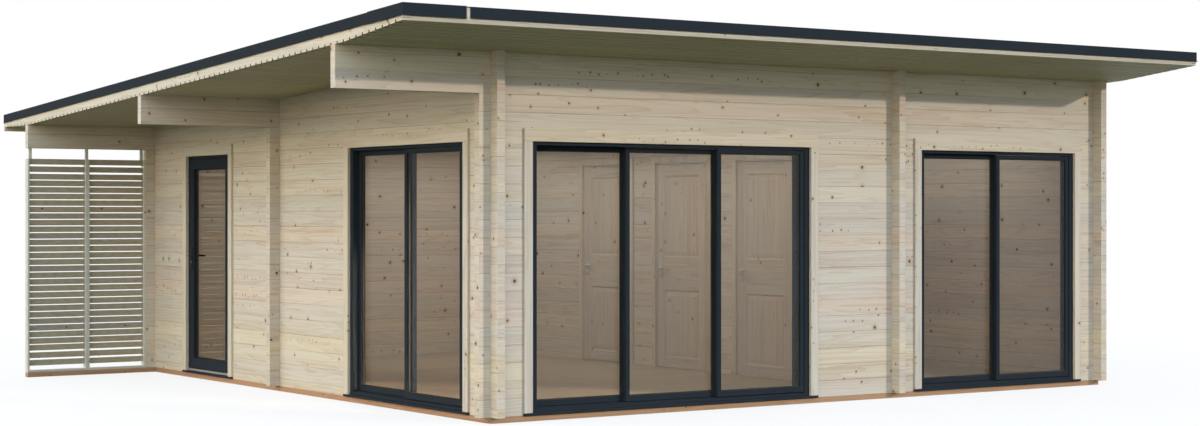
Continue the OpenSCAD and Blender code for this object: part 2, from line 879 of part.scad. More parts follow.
module inner_leaf(y) {
    difference() {
        translate([partition_x, y - inner_w / 2, inner_z0])
            cube([inner_t, inner_w, inner_top - inner_z0]);
        for (p = [panel_low, panel_high], x = [-cut, inner_t - panel_d])
            translate([partition_x + x, y - inner_w / 2 + inner_stile, p[0]])
                cube([panel_d + cut, inner_w - 2 * inner_stile, p[1] - p[0]]);
    }
    leaf_knuckles(inner_pivot(y), inner_z0, inner_top);
}

module inner_door_front() placed() color("burlywood") inner_leaf(inner_lines[0]);

module inner_door_middle() placed() color("burlywood") inner_leaf(inner_lines[1]);

module inner_door_back() placed() color("burlywood") inner_leaf(inner_lines[2]);

front_bearer();
back_bearer();
side_bearers();
floor_joists();
floor();
front_wall_piers();
front_wall_top();
left_wall_piers();
left_wall_top();
right_wall();
back_wall();
partition_piers();
partition_top();
tie_log_ends();
front_beam();
middle_beam();
back_beam();
privacy_screen();
roof_boards();
roof_core();
roof_covering();
roof_fascia();
edge_trim();
corner_trim();
door_casings();
door_sills();
triple_frame();
double_frame();
side_frame();
fixed_leaves();
fixed_glass();
triple_middle_leaf();
triple_middle_glass();
triple_right_leaf();
triple_right_glass();
double_leaf();
double_glass();
side_leaf();
side_glass();
entrance_frame();
entrance_door();
entrance_glass();
entrance_handle();
inner_door_linings();
inner_door_front();
inner_door_middle();
inner_door_back();
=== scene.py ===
# Garden house of logs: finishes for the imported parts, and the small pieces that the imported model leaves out.
import json
import math

import bmesh
import bpy
import numpy as np
from mathutils import Matrix, Vector


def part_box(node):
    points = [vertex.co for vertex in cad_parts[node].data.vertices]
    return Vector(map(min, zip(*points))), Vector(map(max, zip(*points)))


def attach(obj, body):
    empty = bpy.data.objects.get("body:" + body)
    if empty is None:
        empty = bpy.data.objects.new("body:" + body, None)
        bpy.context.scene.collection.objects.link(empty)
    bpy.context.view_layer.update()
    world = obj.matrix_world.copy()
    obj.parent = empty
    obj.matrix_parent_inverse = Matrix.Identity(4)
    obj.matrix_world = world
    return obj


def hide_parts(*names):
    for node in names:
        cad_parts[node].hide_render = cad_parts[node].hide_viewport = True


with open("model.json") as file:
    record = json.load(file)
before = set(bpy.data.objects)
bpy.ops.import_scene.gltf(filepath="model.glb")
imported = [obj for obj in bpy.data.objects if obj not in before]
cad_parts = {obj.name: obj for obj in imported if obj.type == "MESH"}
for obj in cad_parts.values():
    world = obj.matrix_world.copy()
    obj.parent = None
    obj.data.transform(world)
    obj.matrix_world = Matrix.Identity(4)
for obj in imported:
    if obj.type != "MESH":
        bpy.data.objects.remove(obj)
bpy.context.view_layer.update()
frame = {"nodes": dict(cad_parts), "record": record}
scene = bpy.context.scene
parts = {part["node"]: part["material_slot"] for part in frame["record"]["subparts"]}
bodyOf = {node: body for body, nodes in frame["record"]["behaviour"]["bodies"].items() for node in nodes}
print("frame loaded:", len(parts), "parts")

# sizes that the boxes of the parts don't tell
log = {"height": 0.135, "thick": 0.07}
roof = {"slope": 0.0563, "trimHeight": 0.078, "trimThick": 0.003, "trimFlange": 0.060}
lane = 0.2  # room across the grain that a single board has in its pattern


def low(node):
    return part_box(node)[0]


def high(node):
    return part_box(node)[1]


# lines that many pieces share
wallFront = low("front_wall_piers").y
wallLeft = low("side_bearers").x
bearerTop = high("front_bearer").z
floorTop = high("floor").z
openTop = high("triple_frame").z
roofLow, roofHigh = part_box("roof_covering")


# node tools: a socket is fed with a plain value or with another node's output
def feed(tree, socket, value):
    if isinstance(value, bpy.types.NodeSocket):
        tree.links.new(value, socket)
    elif value is not None:
        socket.default_value = value


def addNode(tree, kind, inputs=None, **settings):
    made = tree.nodes.new(kind)
    for name, value in settings.items():
        setattr(made, name, value)
    for key, value in (inputs or {}).items():
        feed(tree, made.inputs[key], value)
    return made


def maths(tree, operation, *values, clamp=False):
    made = addNode(tree, "ShaderNodeMath", operation=operation, use_clamp=clamp)
    for socket, value in zip(made.inputs, values):
        feed(tree, socket, value)
    return made.outputs[0]


def times(tree, first, second, clamp=False):
    return maths(tree, "MULTIPLY", first, second, clamp=clamp)


def plus(tree, first, second):
    return maths(tree, "ADD", first, second)


def minus(tree, first, second):
    return maths(tree, "SUBTRACT", first, second)


def timesPlus(tree, value, factor, base):
    return maths(tree, "MULTIPLY_ADD", value, factor, base)


# base, moved by how far a pattern is from its middle
def sway(tree, pattern, amount, base, middle=0.5):
    return timesPlus(tree, minus(tree, pattern, middle), amount, base)


def span(tree, first, second):
    return maths(tree, "SQRT", plus(tree, times(tree, first, first), times(tree, second, second)))


def fade(tree, value, start, end, first=0.0, last=1.0):
    made = addNode(tree, "ShaderNodeMapRange", interpolation_type="SMOOTHSTEP")
    for socket, given in zip(made.inputs, (value, start, end, first, last)):
        feed(tree, socket, given)
    return made.outputs[0]


def blend(tree, share, first, second):
    made = addNode(tree, "ShaderNodeMix", data_type="RGBA")
    for number, given in ((0, share), (6, first), (7, second)):
        feed(tree, made.inputs[number], given)
    return made.outputs[2]


def noise(tree, vector, detail=2.0, scale=1.0, rough=0.5):
    return addNode(tree, "ShaderNodeTexNoise", {
        "Vector": vector, "Scale": scale, "Detail": detail, "Roughness": rough}).outputs["Fac"]


def split(tree, vector):
    return addNode(tree, "ShaderNodeSeparateXYZ", {"Vector": vector}).outputs


def splitColour(tree, colour):
    return addNode(tree, "ShaderNodeSeparateColor", {"Color": colour}).outputs


def combine(tree, x=0.0, y=0.0, z=0.0):
    return addNode(tree, "ShaderNodeCombineXYZ", {"X": x, "Y": y, "Z": z}).outputs[0]


def stretch(tree, values, factors):
    return combine(tree, *[times(tree, value, factor) for value, factor in zip(values, factors)])


def makeGroup(name, kind, inputs, outputs):
    group = bpy.data.node_groups.new(name, kind)
    for label, socketKind, value in inputs:
        socket = group.interface.new_socket(label, in_out="INPUT", socket_type="NodeSocket" + socketKind)
        if value is not None:
            socket.default_value = value
    for label, socketKind in outputs:
        group.interface.new_socket(label, in_out="OUTPUT", socket_type="NodeSocket" + socketKind)
    return group, group.nodes.new("NodeGroupInput").outputs, group.nodes.new("NodeGroupOutput").inputs


figureOutputs = [("Color", "Color"), ("Roughness", "Float"), ("Height", "Float")]
meshOutputs = [("Geometry", "Geometry")]

# wood: the grain attribute runs along, across and into the board, in metres; a pair such as knotSizes
# is what a random number is multiplied by and what is added to it
woodLook = {
    "logShift": 17.0, "knotShift": 3.1, "raggedScale": 90.0, "bumpDepth": 0.0012,
    "knotCell": 0.27, "knotRagged": 0.006, "knotCore": 0.8, "knotHalo": 3.4, "knotSizes": (0.75, 0.5),
    "rowCell": 0.085, "rowRagged": 0.004, "rowCore": 0.75, "rowHalo": 3.0, "rowSizes": (0.35, 0.3),
    "rowFilled": 0.75, "rowShift": 0.5, "rowLevels": (0.2, 0.15),
    "ringPitch": 0.0080, "ringSharp": 3.0, "bandPitch": 0.019, "bandSharp": 2.0,
    "pithDepths": (0.09, 0.02), "pithWaver": 0.085, "pithBend": 0.8,
    "ring": 0.32, "band": 0.22, "streak": 0.8, "streakMiddle": 0.42, "fibre": 0.45, "cloud": 0.45,
    "hue": 0.4955, "hueSpread": 0.020, "saturationSpread": 0.45,
    "haloColour": (0.42, 0.25, 0.11, 1), "haloShare": 0.34,
    "heartColour": (0.15, 0.070, 0.030, 1), "heartShare": 0.5, "knotShare": 0.92,
    "seamColour": (0.12, 0.075, 0.045, 1), "seamEdge": 0.0034, "seamCore": 0.0014,
    "seamClouds": (0.35, 0.6, 0.35, 1.0), "wornStreak": 0.5,
    "roughness": 0.58, "deepRougher": 0.14, "knotSmoother": -0.18, "ringSunk": -0.5, "knotProud": 0.6,
    # how tightly each noise repeats along, across and into the board
    "waverStretch": (0.45, 7.0, 7.0), "streakStretch": (0.8, 70.0, 70.0), "rowStretch": (0.8, 5.7, 3.1),
    "fibreStretch": (14.0, 700.0, 700.0), "cloudStretch": (0.5, 9.0, 9.0)}


def buildWoodFigure():
    g, given, out = makeGroup("woodFigure", "ShaderNodeTree", [
        ("Grain", "Vector", None), ("Worn Edge", "Float", 0.0), ("Board Height", "Float", 0.135),
        ("Seed", "Float", 1.0), ("Pale", "Color", (0.62, 0.54, 0.40, 1)),
        ("Deep", "Color", (0.42, 0.31, 0.19, 1)), ("Contrast", "Float", 1.0), ("Tint Spread", "Float", 0.1),
        ("Knots", "Float", 0.5), ("Knot Size", "Float", 0.009), ("Knot Rows", "Float", 0.4),
        ("Knot Colour", "Color", (0.050, 0.024, 0.012, 1)), ("Joint", "Float", 0.0)], figureOutputs)
    look = woodLook
    along, across, into = split(g, given["Grain"])
    course = maths(g, "DIVIDE", across, given["Board Height"])
    index = maths(g, "FLOOR", course)
    within = minus(g, course, index)
    luck = addNode(g, "ShaderNodeTexWhiteNoise", {"Vector": combine(g, index, given["Seed"])},
                   noise_dimensions="3D").outputs
    luckA, luckB, luckC = splitColour(g, luck["Color"])
    shifted = timesPlus(g, luckA, look["logShift"], along)  # every log starts elsewhere in the pattern

    def figureNoise(factors, detail):
        return noise(g, stretch(g, (shifted, across, into), factors), detail)

    # one cell of a Voronoi pattern in some holds a knot, and the grain bends round it
    spot = combine(g, shifted, timesPlus(g, luckB, look["knotShift"], across))
    cells = addNode(g, "ShaderNodeTexVoronoi", {"Vector": spot, "Scale": 1 / look["knotCell"]},
                    voronoi_dimensions="2D").outputs
    has, size, dark = splitColour(g, cells["Color"])
    ragged = noise(g, spot, 2.0, look["raggedScale"])
    away = sway(g, ragged, look["knotRagged"], times(g, cells["Distance"], look["knotCell"]))
    radius = times(g, given["Knot Size"], timesPlus(g, size, *look["knotSizes"]))
    radius = times(g, radius, maths(g, "LESS_THAN", has, given["Knots"]))
    knot = fade(g, away, radius, times(g, radius, look["knotCore"]))
    halo = fade(g, away, times(g, radius, look["knotHalo"]), radius)
    # small knots in a row along some stretches of a board
    row = addNode(g, "ShaderNodeTexVoronoi", {"W": shifted, "Scale": 1 / look["rowCell"]},
                  voronoi_dimensions="1D").outputs
    rowHas, rowLift, rowSize = splitColour(g, row["Color"])
    level = timesPlus(g, luckB, look["rowShift"], timesPlus(g, rowLift, *look["rowLevels"]))
    upwards = times(g, minus(g, within, level), given["Board Height"])
    rowAway = sway(g, ragged, look["rowRagged"], span(g, times(g, row["Distance"], look["rowCell"]), upwards))
    rowPick = noise(g, stretch(g, (shifted, index, given["Seed"]), look["rowStretch"]), 0.0)
    rowRadius = times(g, given["Knot Size"], timesPlus(g, rowSize, *look["rowSizes"]))
    rowRadius = times(g, rowRadius, maths(g, "LESS_THAN", rowHas, look["rowFilled"]))
    rowRadius = times(g, rowRadius, maths(g, "LESS_THAN", rowPick, given["Knot Rows"]))
    rowKnot = fade(g, rowAway, rowRadius, times(g, rowRadius, look["rowCore"]))
    knot = maths(g, "MAXIMUM", knot, rowKnot)
    halo = maths(g, "MAXIMUM", halo, fade(g, rowAway, times(g, rowRadius, look["rowHalo"]), rowRadius))
    # year rings: distance from a wavering pith
    up = times(g, minus(g, within, luckC), given["Board Height"])
    pith = span(g, up, plus(g, into, timesPlus(g, luckB, *look["pithDepths"])))
    pith = timesPlus(g, figureNoise(look["waverStretch"], 2.0), look["pithWaver"], pith)
    pith = timesPlus(g, times(g, halo, radius), look["pithBend"], pith)
    ring = maths(g, "FRACT", maths(g, "DIVIDE", pith, look["ringPitch"]))
    ring = maths(g, "POWER", ring, look["ringSharp"])
    band = maths(g, "PINGPONG", maths(g, "DIVIDE", pith, look["bandPitch"]), 1.0)
    band = maths(g, "POWER", band, look["bandSharp"])
    streak = figureNoise(look["streakStretch"], 3.0)
    fibre = figureNoise(look["fibreStretch"], 1.0)
    cloud = figureNoise(look["cloudStretch"], 1.0)
    tone = timesPlus(g, band, look["band"], times(g, ring, look["ring"]))
    tone = sway(g, streak, look["streak"], tone, look["streakMiddle"])
    tone = sway(g, fibre, look["fibre"], tone)
    tone = times(g, sway(g, cloud, look["cloud"], tone), given["Contrast"], clamp=True)
    tinted = addNode(g, "ShaderNodeHueSaturation", {
        "Hue": sway(g, luckC, look["hueSpread"], look["hue"]),
        "Saturation": sway(g, luckA, look["saturationSpread"], 1.0),
        "Value": sway(g, luck["Value"], given["Tint Spread"], 1.0),
        "Color": blend(g, tone, given["Pale"], given["Deep"])}).outputs[0]
    warm = blend(g, times(g, halo, look["haloShare"]), tinted, look["haloColour"])
    hearts = blend(g, times(g, dark, look["heartShare"]), given["Knot Colour"], look["heartColour"])
    knotted = blend(g, times(g, knot, look["knotShare"]), warm, hearts)
    # fine dark joint between two logs, stronger in some places
    edge = times(g, maths(g, "MINIMUM", within, minus(g, 1.0, within)), given["Board Height"])
    seam = times(g, fade(g, edge, look["seamEdge"], look["seamCore"]), given["Joint"])
    seam = times(g, seam, fade(g, cloud, *look["seamClouds"]))
    seamed = blend(g, seam, knotted, look["seamColour"])
    worn = times(g, given["Worn Edge"], times(g, streak, look["wornStreak"]))
    feed(g, out["Color"], blend(g, worn, seamed, given["Pale"]))
    rough = timesPlus(g, tone, look["deepRougher"], look["roughness"])
    feed(g, out["Roughness"], timesPlus(g, knot, look["knotSmoother"], rough))
    height = timesPlus(g, ring, look["ringSunk"], fibre)
    feed(g, out["Height"], timesPlus(g, knot, look["knotProud"], height))
    return g


# powder coat, bare metal, rubber: fine speckle, dust that lies thicker low down, and worn edges
coatLook = {"patchScale": 2.3, "patchRough": 0.6, "patchRange": (0.42, 0.75), "patch": 0.5,
            "runStretch": (9.0, 9.0, 0.7), "runRange": (0.45, 0.8), "runs": 0.6,
            "splashTop": 0.55, "splashFull": 0.03, "splash": 0.8, "dustRougher": 0.35,
            "speckleFrom": 0.35, "speckle": 0.5, "speckleRough": 0.12,
            "rubbedPatches": (0.35, 0.65, 0.35, 1.0), "bumpDepth": 0.0004}


def buildCoatFigure():
    g, given, out = makeGroup("coatFigure", "ShaderNodeTree", [
        ("Place", "Vector", None), ("Worn Edge", "Float", 0.0), ("Colour", "Color", (0.03, 0.04, 0.05, 1)),
        ("Dust Colour", "Color", (0.30, 0.27, 0.22, 1)), ("Dust", "Float", 0.1),
        ("Wear Colour", "Color", None), ("Wear", "Float", 0.2), ("Grain Size", "Float", 0.0012),
        ("Roughness", "Float", 0.45)], figureOutputs)
    look = coatLook
    x, y, height = split(g, given["Place"])
    fine = noise(g, given["Place"], 2.0, maths(g, "DIVIDE", 1.0, given["Grain Size"]))
    patch = noise(g, given["Place"], 4.0, look["patchScale"], look["patchRough"])
    runs = noise(g, stretch(g, (x, y, height), look["runStretch"]), 3.0)
    film = plus(g, times(g, fade(g, patch, *look["patchRange"]), look["patch"]),
                times(g, fade(g, runs, *look["runRange"]), look["runs"]))
    film = timesPlus(g, fade(g, height, look["splashTop"], look["splashFull"]), look["splash"], film)
    film = times(g, film, given["Dust"], clamp=True)
    speckle = times(g, minus(g, fine, look["speckleFrom"]), look["speckle"], clamp=True)
    dusty = blend(g, film, blend(g, speckle, given["Colour"], (0.0, 0.0, 0.0, 1)), given["Dust Colour"])
    rubbed = times(g, times(g, given["Worn Edge"], given["Wear"]), fade(g, patch, *look["rubbedPatches"]))
    feed(g, out["Color"], blend(g, rubbed, dusty, given["Wear Colour"]))
    rough = timesPlus(g, film, look["dustRougher"], given["Roughness"])
    feed(g, out["Roughness"], sway(g, fine, look["speckleRough"], rough))
    feed(g, out["Height"], fine)
    return g


woodFigure = buildWoodFigure()
coatFigure = buildCoatFigure()


def startMaterial(name):
    material = bpy.data.materials.new(name)
    material.use_nodes = True
    tree = material.node_tree
    tree.nodes.clear()
    shader = tree.nodes.new("ShaderNodeBsdfPrincipled")
    output = tree.nodes.new("ShaderNodeOutputMaterial")
    tree.links.new(shader.outputs[0], output.inputs["Surface"])
    return material, tree, shader, output


def attribute(tree, name, output):
    made = addNode(tree, "ShaderNodeAttribute", attribute_name=name, attribute_type="GEOMETRY")
    return made.outputs[output]


def objectPlace(tree):
    return addNode(tree, "ShaderNodeTexCoord").outputs["Object"]


# places a figure group in a material, with values such as knotSize for its input Knot Size
def addFigure(tree, shader, group, source, look, bumpStrength, values):
    figure = addNode(tree, "ShaderNodeGroup", {0: source, "Worn Edge": attribute(tree, "edge", "Fac")},
                     node_tree=group)
    for word, value in values.items():
        label = "".join(" " + letter if letter.isupper() else letter for letter in word).title()
        figure.inputs[label].default_value = value
    feed(tree, shader.inputs["Base Color"], figure.outputs["Color"])
    feed(tree, shader.inputs["Roughness"], figure.outputs["Roughness"])
    bump = addNode(tree, "ShaderNodeBump", {
        "Height": figure.outputs["Height"], "Distance": look["bumpDepth"],
        "Strength": bumpStrength})
    feed(tree, shader.inputs["Normal"], bump.outputs[0])


def woodFinish(name, specular=0.3, bump=0.5, **values):
    material, tree, shader = startMaterial(name)[:3]
    shader.inputs["Specular IOR Level"].default_value = specular
    addFigure(tree, shader, woodFigure, attribute(tree, "grain", "Vector"), woodLook, bump, values)
    return material


def coatFinish(name, metallic=0.0, specular=0.5, bump=0.25, **values):
    material, tree, shader = startMaterial(name)[:3]
    shader.inputs["Metallic"].default_value = metallic
    shader.inputs["Specular IOR Level"].default_value = specular
    addFigure(tree, shader, coatFigure, objectPlace(tree), coatLook, bump, values)
    return material


# panes: a few smears, a slight swell, and a plain tint for the sun that passes through
paneLook = {"smearScale": 3.0, "smearRange": (0.4, 0.8), "smearRoughness": 0.02,
            "swellScale": 1.3, "swellDepth": 0.001, "swellStrength": 0.05}


def glassFinish(name, tint, shade, bending):
    material, tree, shader, output = startMaterial(name)
    shader.inputs["Base Color"].default_value = tint
    shader.inputs["Metallic"].default_value = 0.0
    shader.inputs["Transmission Weight"].default_value = 1.0
    shader.inputs["IOR"].default_value = bending
    spot = objectPlace(tree)
    smear = noise(tree, spot, 4.0, paneLook["smearScale"])
    smeared = fade(tree, smear, *paneLook["smearRange"], 0.0, paneLook["smearRoughness"])
    feed(tree, shader.inputs["Roughness"], smeared)
    swell = addNode(tree, "ShaderNodeBump", {
        "Height": noise(tree, spot, 0.0, paneLook["swellScale"]), "Distance": paneLook["swellDepth"],
        "Strength": paneLook["swellStrength"]})
    feed(tree, shader.inputs["Normal"], swell.outputs[0])
    clear = addNode(tree, "ShaderNodeBsdfTransparent", {"Color": shade})
    shadowRay = addNode(tree, "ShaderNodeLightPath").outputs["Is Shadow Ray"]
    mixed = addNode(tree, "ShaderNodeMixShader", {0: shadowRay, 1: shader.outputs[0], 2: clear.outputs[0]})
    tree.links.new(mixed.outputs[0], output.inputs["Surface"])
    return material


soffitPitch = 0.0955
finish = {
    "logs": woodFinish("spruceLogs", boardHeight=log["height"], pale=(0.592, 0.536, 0.442, 1),
                       deep=(0.405, 0.286, 0.186, 1), contrast=0.95, tintSpread=0.13, knots=0.62,
                       knotSize=0.0125, knotRows=0.36, joint=0.50),
    "planed": woodFinish("planedSpruce", boardHeight=lane, pale=(0.585, 0.533, 0.44, 1),
                         deep=(0.385, 0.30, 0.20, 1), contrast=0.95, tintSpread=0.10, knots=0.5,
                         knotSize=0.011, seed=3.0),
    "bearer": woodFinish("impregnatedWood", boardHeight=lane, pale=(0.43, 0.255, 0.125, 1),
                         deep=(0.27, 0.145, 0.065, 1), contrast=1.1, tintSpread=0.15, knots=0.5,
                         knotSize=0.012, knotColour=(0.05, 0.02, 0.01, 1)),
    "floor": woodFinish("floorBoards", boardHeight=0.12, pale=(0.40, 0.33, 0.24, 1),
                        deep=(0.28, 0.205, 0.13, 1), contrast=0.9, tintSpread=0.16, knots=0.5,
                        knotSize=0.010, seed=5.0),
    # soffit boards: darker and more olive than the walls, painted shade of the eaves and painted green bounce
    # from the ground
    "soffit": woodFinish("soffitShadedBoarding", boardHeight=soffitPitch, pale=(0.455, 0.435, 0.262, 1),
                         deep=(0.30, 0.268, 0.135, 1), contrast=1.0, tintSpread=0.12, knots=0.35,
                         knotSize=0.009, seed=9.0),
    "screen": woodFinish("screenWood", boardHeight=lane, pale=(0.378, 0.342, 0.246, 1),
                         deep=(0.25, 0.215, 0.145, 1), contrast=1.0, tintSpread=0.16, knots=0.35,
                         knotSize=0.008, seed=13.0),
    "screenFrame": woodFinish("screenFrameWood", boardHeight=lane, pale=(0.58, 0.57, 0.52, 1),
                              deep=(0.40, 0.375, 0.315, 1), contrast=0.9, tintSpread=0.10, knots=0.3,
                              knotSize=0.006, seed=15.0),
    "inside": woodFinish("insideTimber", boardHeight=lane, pale=(0.60, 0.50, 0.35, 1),
                         deep=(0.44, 0.32, 0.19, 1), contrast=0.8, tintSpread=0.1, knots=0.1,
                         knotSize=0.006, seed=17.0),
    "door": woodFinish("doorPine", boardHeight=lane, pale=(0.535, 0.478, 0.393, 1),
                       deep=(0.385, 0.30, 0.215, 1), contrast=1.0, tintSpread=0.10, knots=0.5,
                       knotSize=0.010, seed=21.0),
    # near-black joint cheeks: painted shade in the deep narrow slits of the open soffit joints
    "paintedJointShade": woodFinish("paintedJointShade", boardHeight=soffitPitch, pale=(0.075, 0.068, 0.045, 1),
                            deep=(0.045, 0.038, 0.025, 1), knots=0.0, seed=25.0),
    "anthracite": coatFinish("anthraciteCoat", specular=0.015, colour=(0.0205, 0.0275, 0.0350, 1), dust=0.008,
                             wearColour=(0.06, 0.07, 0.08, 1), wear=0.3, roughness=0.50),
    "black": coatFinish("blackMetal", specular=0.15, colour=(0.008, 0.008, 0.009, 1), dust=0.015,
                        wearColour=(0.06, 0.06, 0.06, 1), wear=0.4, roughness=0.38),
    "aluminium": coatFinish("bareAluminium", metallic=1.0, colour=(0.62, 0.62, 0.60, 1), dust=0.18,
                            wearColour=(0.8, 0.8, 0.8, 1), wear=0.5, roughness=0.34),
    "steel": coatFinish("satinSteel", metallic=1.0, colour=(0.55, 0.55, 0.54, 1), dust=0.05,
                        wearColour=(0.8, 0.8, 0.8, 1), wear=0.4, roughness=0.28),
    # levers: only partly metallic with a pale colour, so that they read bright; the pale colour is partly
    # painted reflection
    "nickel": coatFinish("nickelPaintedSheen", metallic=0.4, colour=(0.62, 0.62, 0.60, 1), dust=0.03,
                         wearColour=(0.85, 0.85, 0.85, 1), wear=0.4, roughness=0.30),
    "spacer": coatFinish("spacerBar", specular=0.2, colour=(0.075, 0.070, 0.060, 1), dust=0.05,
                         wearColour=(0.1, 0.1, 0.1, 1), wear=0.0, roughness=0.5),
    "rubber": coatFinish("gasketRubber", specular=0.2, colour=(0.010, 0.010, 0.011, 1), dust=0.06,
                         wearColour=(0.05, 0.05, 0.05, 1), wear=0.2, roughness=0.7),
    "membrane": coatFinish("roofMembrane", specular=0.3, bump=0.8, colour=(0.055, 0.057, 0.060, 1), dust=0.22,
                           wearColour=(0.12, 0.12, 0.12, 1), wear=0.2, grainSize=0.004, roughness=0.8),
    "glass": glassFinish("windowGlass", (0.965, 0.963, 0.962, 1), (0.985, 0.98, 0.97, 1), 1.20),
    "sideGlass": glassFinish("sideGlass", (0.985, 0.965, 0.945, 1), (0.985, 0.975, 0.96, 1), 1.08),
    "softGlass": glassFinish("entranceGlass", (0.99, 0.972, 0.95, 1), (0.985, 0.975, 0.96, 1), 1.09),
}
print("finishes made:", len(finish))


# mesh tools: lengths in metres, angles in degrees, and the least share of a normal for a face to face one way
meshWork = {"merge": 0.00001, "flat": 0.5, "sharp": 50, "smooth": 38, "facing": 0.9}


def mergedCopy(node):
    bm = bmesh.new()
    bm.from_mesh(frame["nodes"][node].data)
    bmesh.ops.remove_doubles(bm, verts=bm.verts, dist=meshWork["merge"])
    bmesh.ops.dissolve_limit(bm, angle_limit=math.radians(meshWork["flat"]), verts=bm.verts, edges=bm.edges)
    return bm


def breakEdges(bm, width, keepSharp=None):
    worn = bm.faces.layers.float.new("edge")
    sharp = [edge for edge in bm.edges if edge.is_manifold and edge.is_convex
             and edge.calc_face_angle(0) > math.radians(meshWork["sharp"])
             and not (keepSharp and keepSharp(edge))]
    made = bmesh.ops.bevel(bm, geom=sharp, offset=width, offset_type="OFFSET", segments=1, profile=0.5,
                           affect="EDGES", clamp_overlap=True)
    for face in made["faces"]:
        face[worn] = 1.0


# layOf gives a face's axes along, across and into the board, and where the board starts across
def layGrain(mesh, layOf, seed=0.0):
    spots = np.empty(len(mesh.vertices) * 3, np.float32)
    mesh.vertices.foreach_get("co", spots)
    spots = spots.reshape(-1, 3)
    corners = np.empty(len(mesh.loops), np.int32)
    mesh.loops.foreach_get("vertex_index", corners)
    grain = np.zeros((len(mesh.loops), 3), np.float32)
    for face in mesh.polygons:
        along, across, into, start = layOf(face.center)
        if abs(face.normal[along]) > meshWork["facing"]:
            along, into = into, along
        loops = slice(face.loop_start, face.loop_start + face.loop_total)
        at = spots[corners[loops]]
        grain[loops, 0] = at[:, along] + seed
        grain[loops, 1] = at[:, across] - start
        grain[loops, 2] = at[:, into]
    mesh.attributes.new("grain", "FLOAT_VECTOR", "CORNER").data.foreach_set("vector", grain.ravel())


def meshFrom(bm, name):
    for face in bm.faces:
        face.smooth = False
    mesh = bpy.data.meshes.new(name)
    bm.to_mesh(mesh)
    bm.free()
    return mesh


def finishedMesh(bm, name, smooth=False):
    bmesh.ops.recalc_face_normals(bm, faces=bm.faces)
    mesh = meshFrom(bm, name)
    if smooth:
        mesh.shade_smooth()
        mesh.set_sharp_from_angle(angle=math.radians(meshWork["smooth"]))
    return mesh


def place(name, mesh, finishes, body, nodes=()):
    piece = bpy.data.objects.new(name, mesh)
    scene.collection.objects.link(piece)
    picks = [face.material_index for face in mesh.polygons]
    mesh.materials.clear()
    for key in finishes:
        mesh.materials.append(finish[key])
    if len(finishes) > 1:
        mesh.polygons.foreach_set("material_index", picks)
    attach(piece, body)
    if nodes:
        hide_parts(*nodes)


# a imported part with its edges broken, which stands for the part itself
def softened(node, name, finishKey, width, layOf=None, seed=0.0):
    bm = mergedCopy(node)
    breakEdges(bm, width)
    mesh = meshFrom(bm, name)
    if layOf:
        layGrain(mesh, layOf, seed)
    place(name, mesh, [finishKey], bodyOf[node], [node])


# log walls and beams, with the seed of each one's grain
logWork = {"chamfer": 0.0022, "groove": 0.005, "hairline": 0.0013, "near": 0.0006, "seamNear": 0.0005,
           "lip": (0.0015, 0.003), "lipShare": 0.6,
           "alongX": {"front_wall_piers": 0.0, "front_wall_top": 0.0, "front_beam": 0.0, "back_wall": 23.0,
                      "back_beam": 23.0, "middle_beam": 41.0, "tie_log_ends": 41.0},
           "alongY": {"left_wall_piers": 61.0, "left_wall_top": 61.0, "right_wall": 83.0,
                      "partition_piers": 107.0, "partition_top": 107.0}}
seamHeights = [openTop, high("partition_piers").z]


def onSolidSeam(edge):
    heights = [vert.co.z for vert in edge.verts]
    return any(all(abs(z - seam) < logWork["seamNear"] for z in heights) for seam in seamHeights)


# planed logs sit close: the joint's groove is drawn in to a hairline
def drawInJoints(bm, node, axis, start):
    near, far = low(node)[axis], high(node)[axis]
    groove, hairline, close = logWork["groove"], logWork["hairline"], logWork["near"]
    lipNear, lipFar = logWork["lip"]
    for vert in bm.verts:
        course = (vert.co.z - start) / log["height"]
        away = vert.co.z - start - round(course) * log["height"]
        side = 1 if vert.co[axis] < (near + far) / 2 else -1
        inset = (vert.co[axis] - near) if side > 0 else (far - vert.co[axis])
        if abs(inset - groove) < close and abs(away) < close:
            vert.co[axis] -= side * (groove - hairline)
        elif inset < close and lipNear < abs(away) < lipFar:
            vert.co.z -= away - math.copysign(hairline * logWork["lipShare"], away)


def layLogs(node, along, into, start, seed):
    bm = mergedCopy(node)
    drawInJoints(bm, node, into, start)
    breakEdges(bm, logWork["chamfer"], onSolidSeam)
    mesh = meshFrom(bm, node + "_logs")
    layGrain(mesh, lambda at: (along, 2, into, start), seed)
    place(node + "_logs", mesh, ["logs"], "house", [node])


for node, seed in logWork["alongX"].items():
    layLogs(node, 0, 1, bearerTop, seed)
for node, seed in logWork["alongY"].items():
    layLogs(node, 1, 0, bearerTop + log["height"] / 2, seed)
print("logs laid")


# boards sawn to size: each is a chamfered block with its own run of grain
def sawBoards(name, boards, finishKey, body, nodes, chamfer=0.0015, seed=0.0, seedStep=3.7):
    whole = bmesh.new()
    for number, (start, end, way) in enumerate(boards):
        bm = bmesh.new()
        middle = (Vector(start) + Vector(end)) / 2
        size = Vector(end) - Vector(start)
        bmesh.ops.create_cube(bm, size=1.0, matrix=Matrix.Translation(middle) @ Matrix.Diagonal((*size, 1)))
        breakEdges(bm, min(chamfer, min(size) / 4))
        piece = meshFrom(bm, "board")
        across, into = sorted((axis for axis in range(3) if axis != way), key=lambda axis: -size[axis])
        first = start[across] - lane * number - (lane - min(size[across], lane)) / 2
        layGrain(piece, lambda at: (way, across, into, first), seed + seedStep * number)
        whole.from_mesh(piece)
        bpy.data.meshes.remove(piece)
    place(name, meshFrom(whole, name), [finishKey], body, nodes)


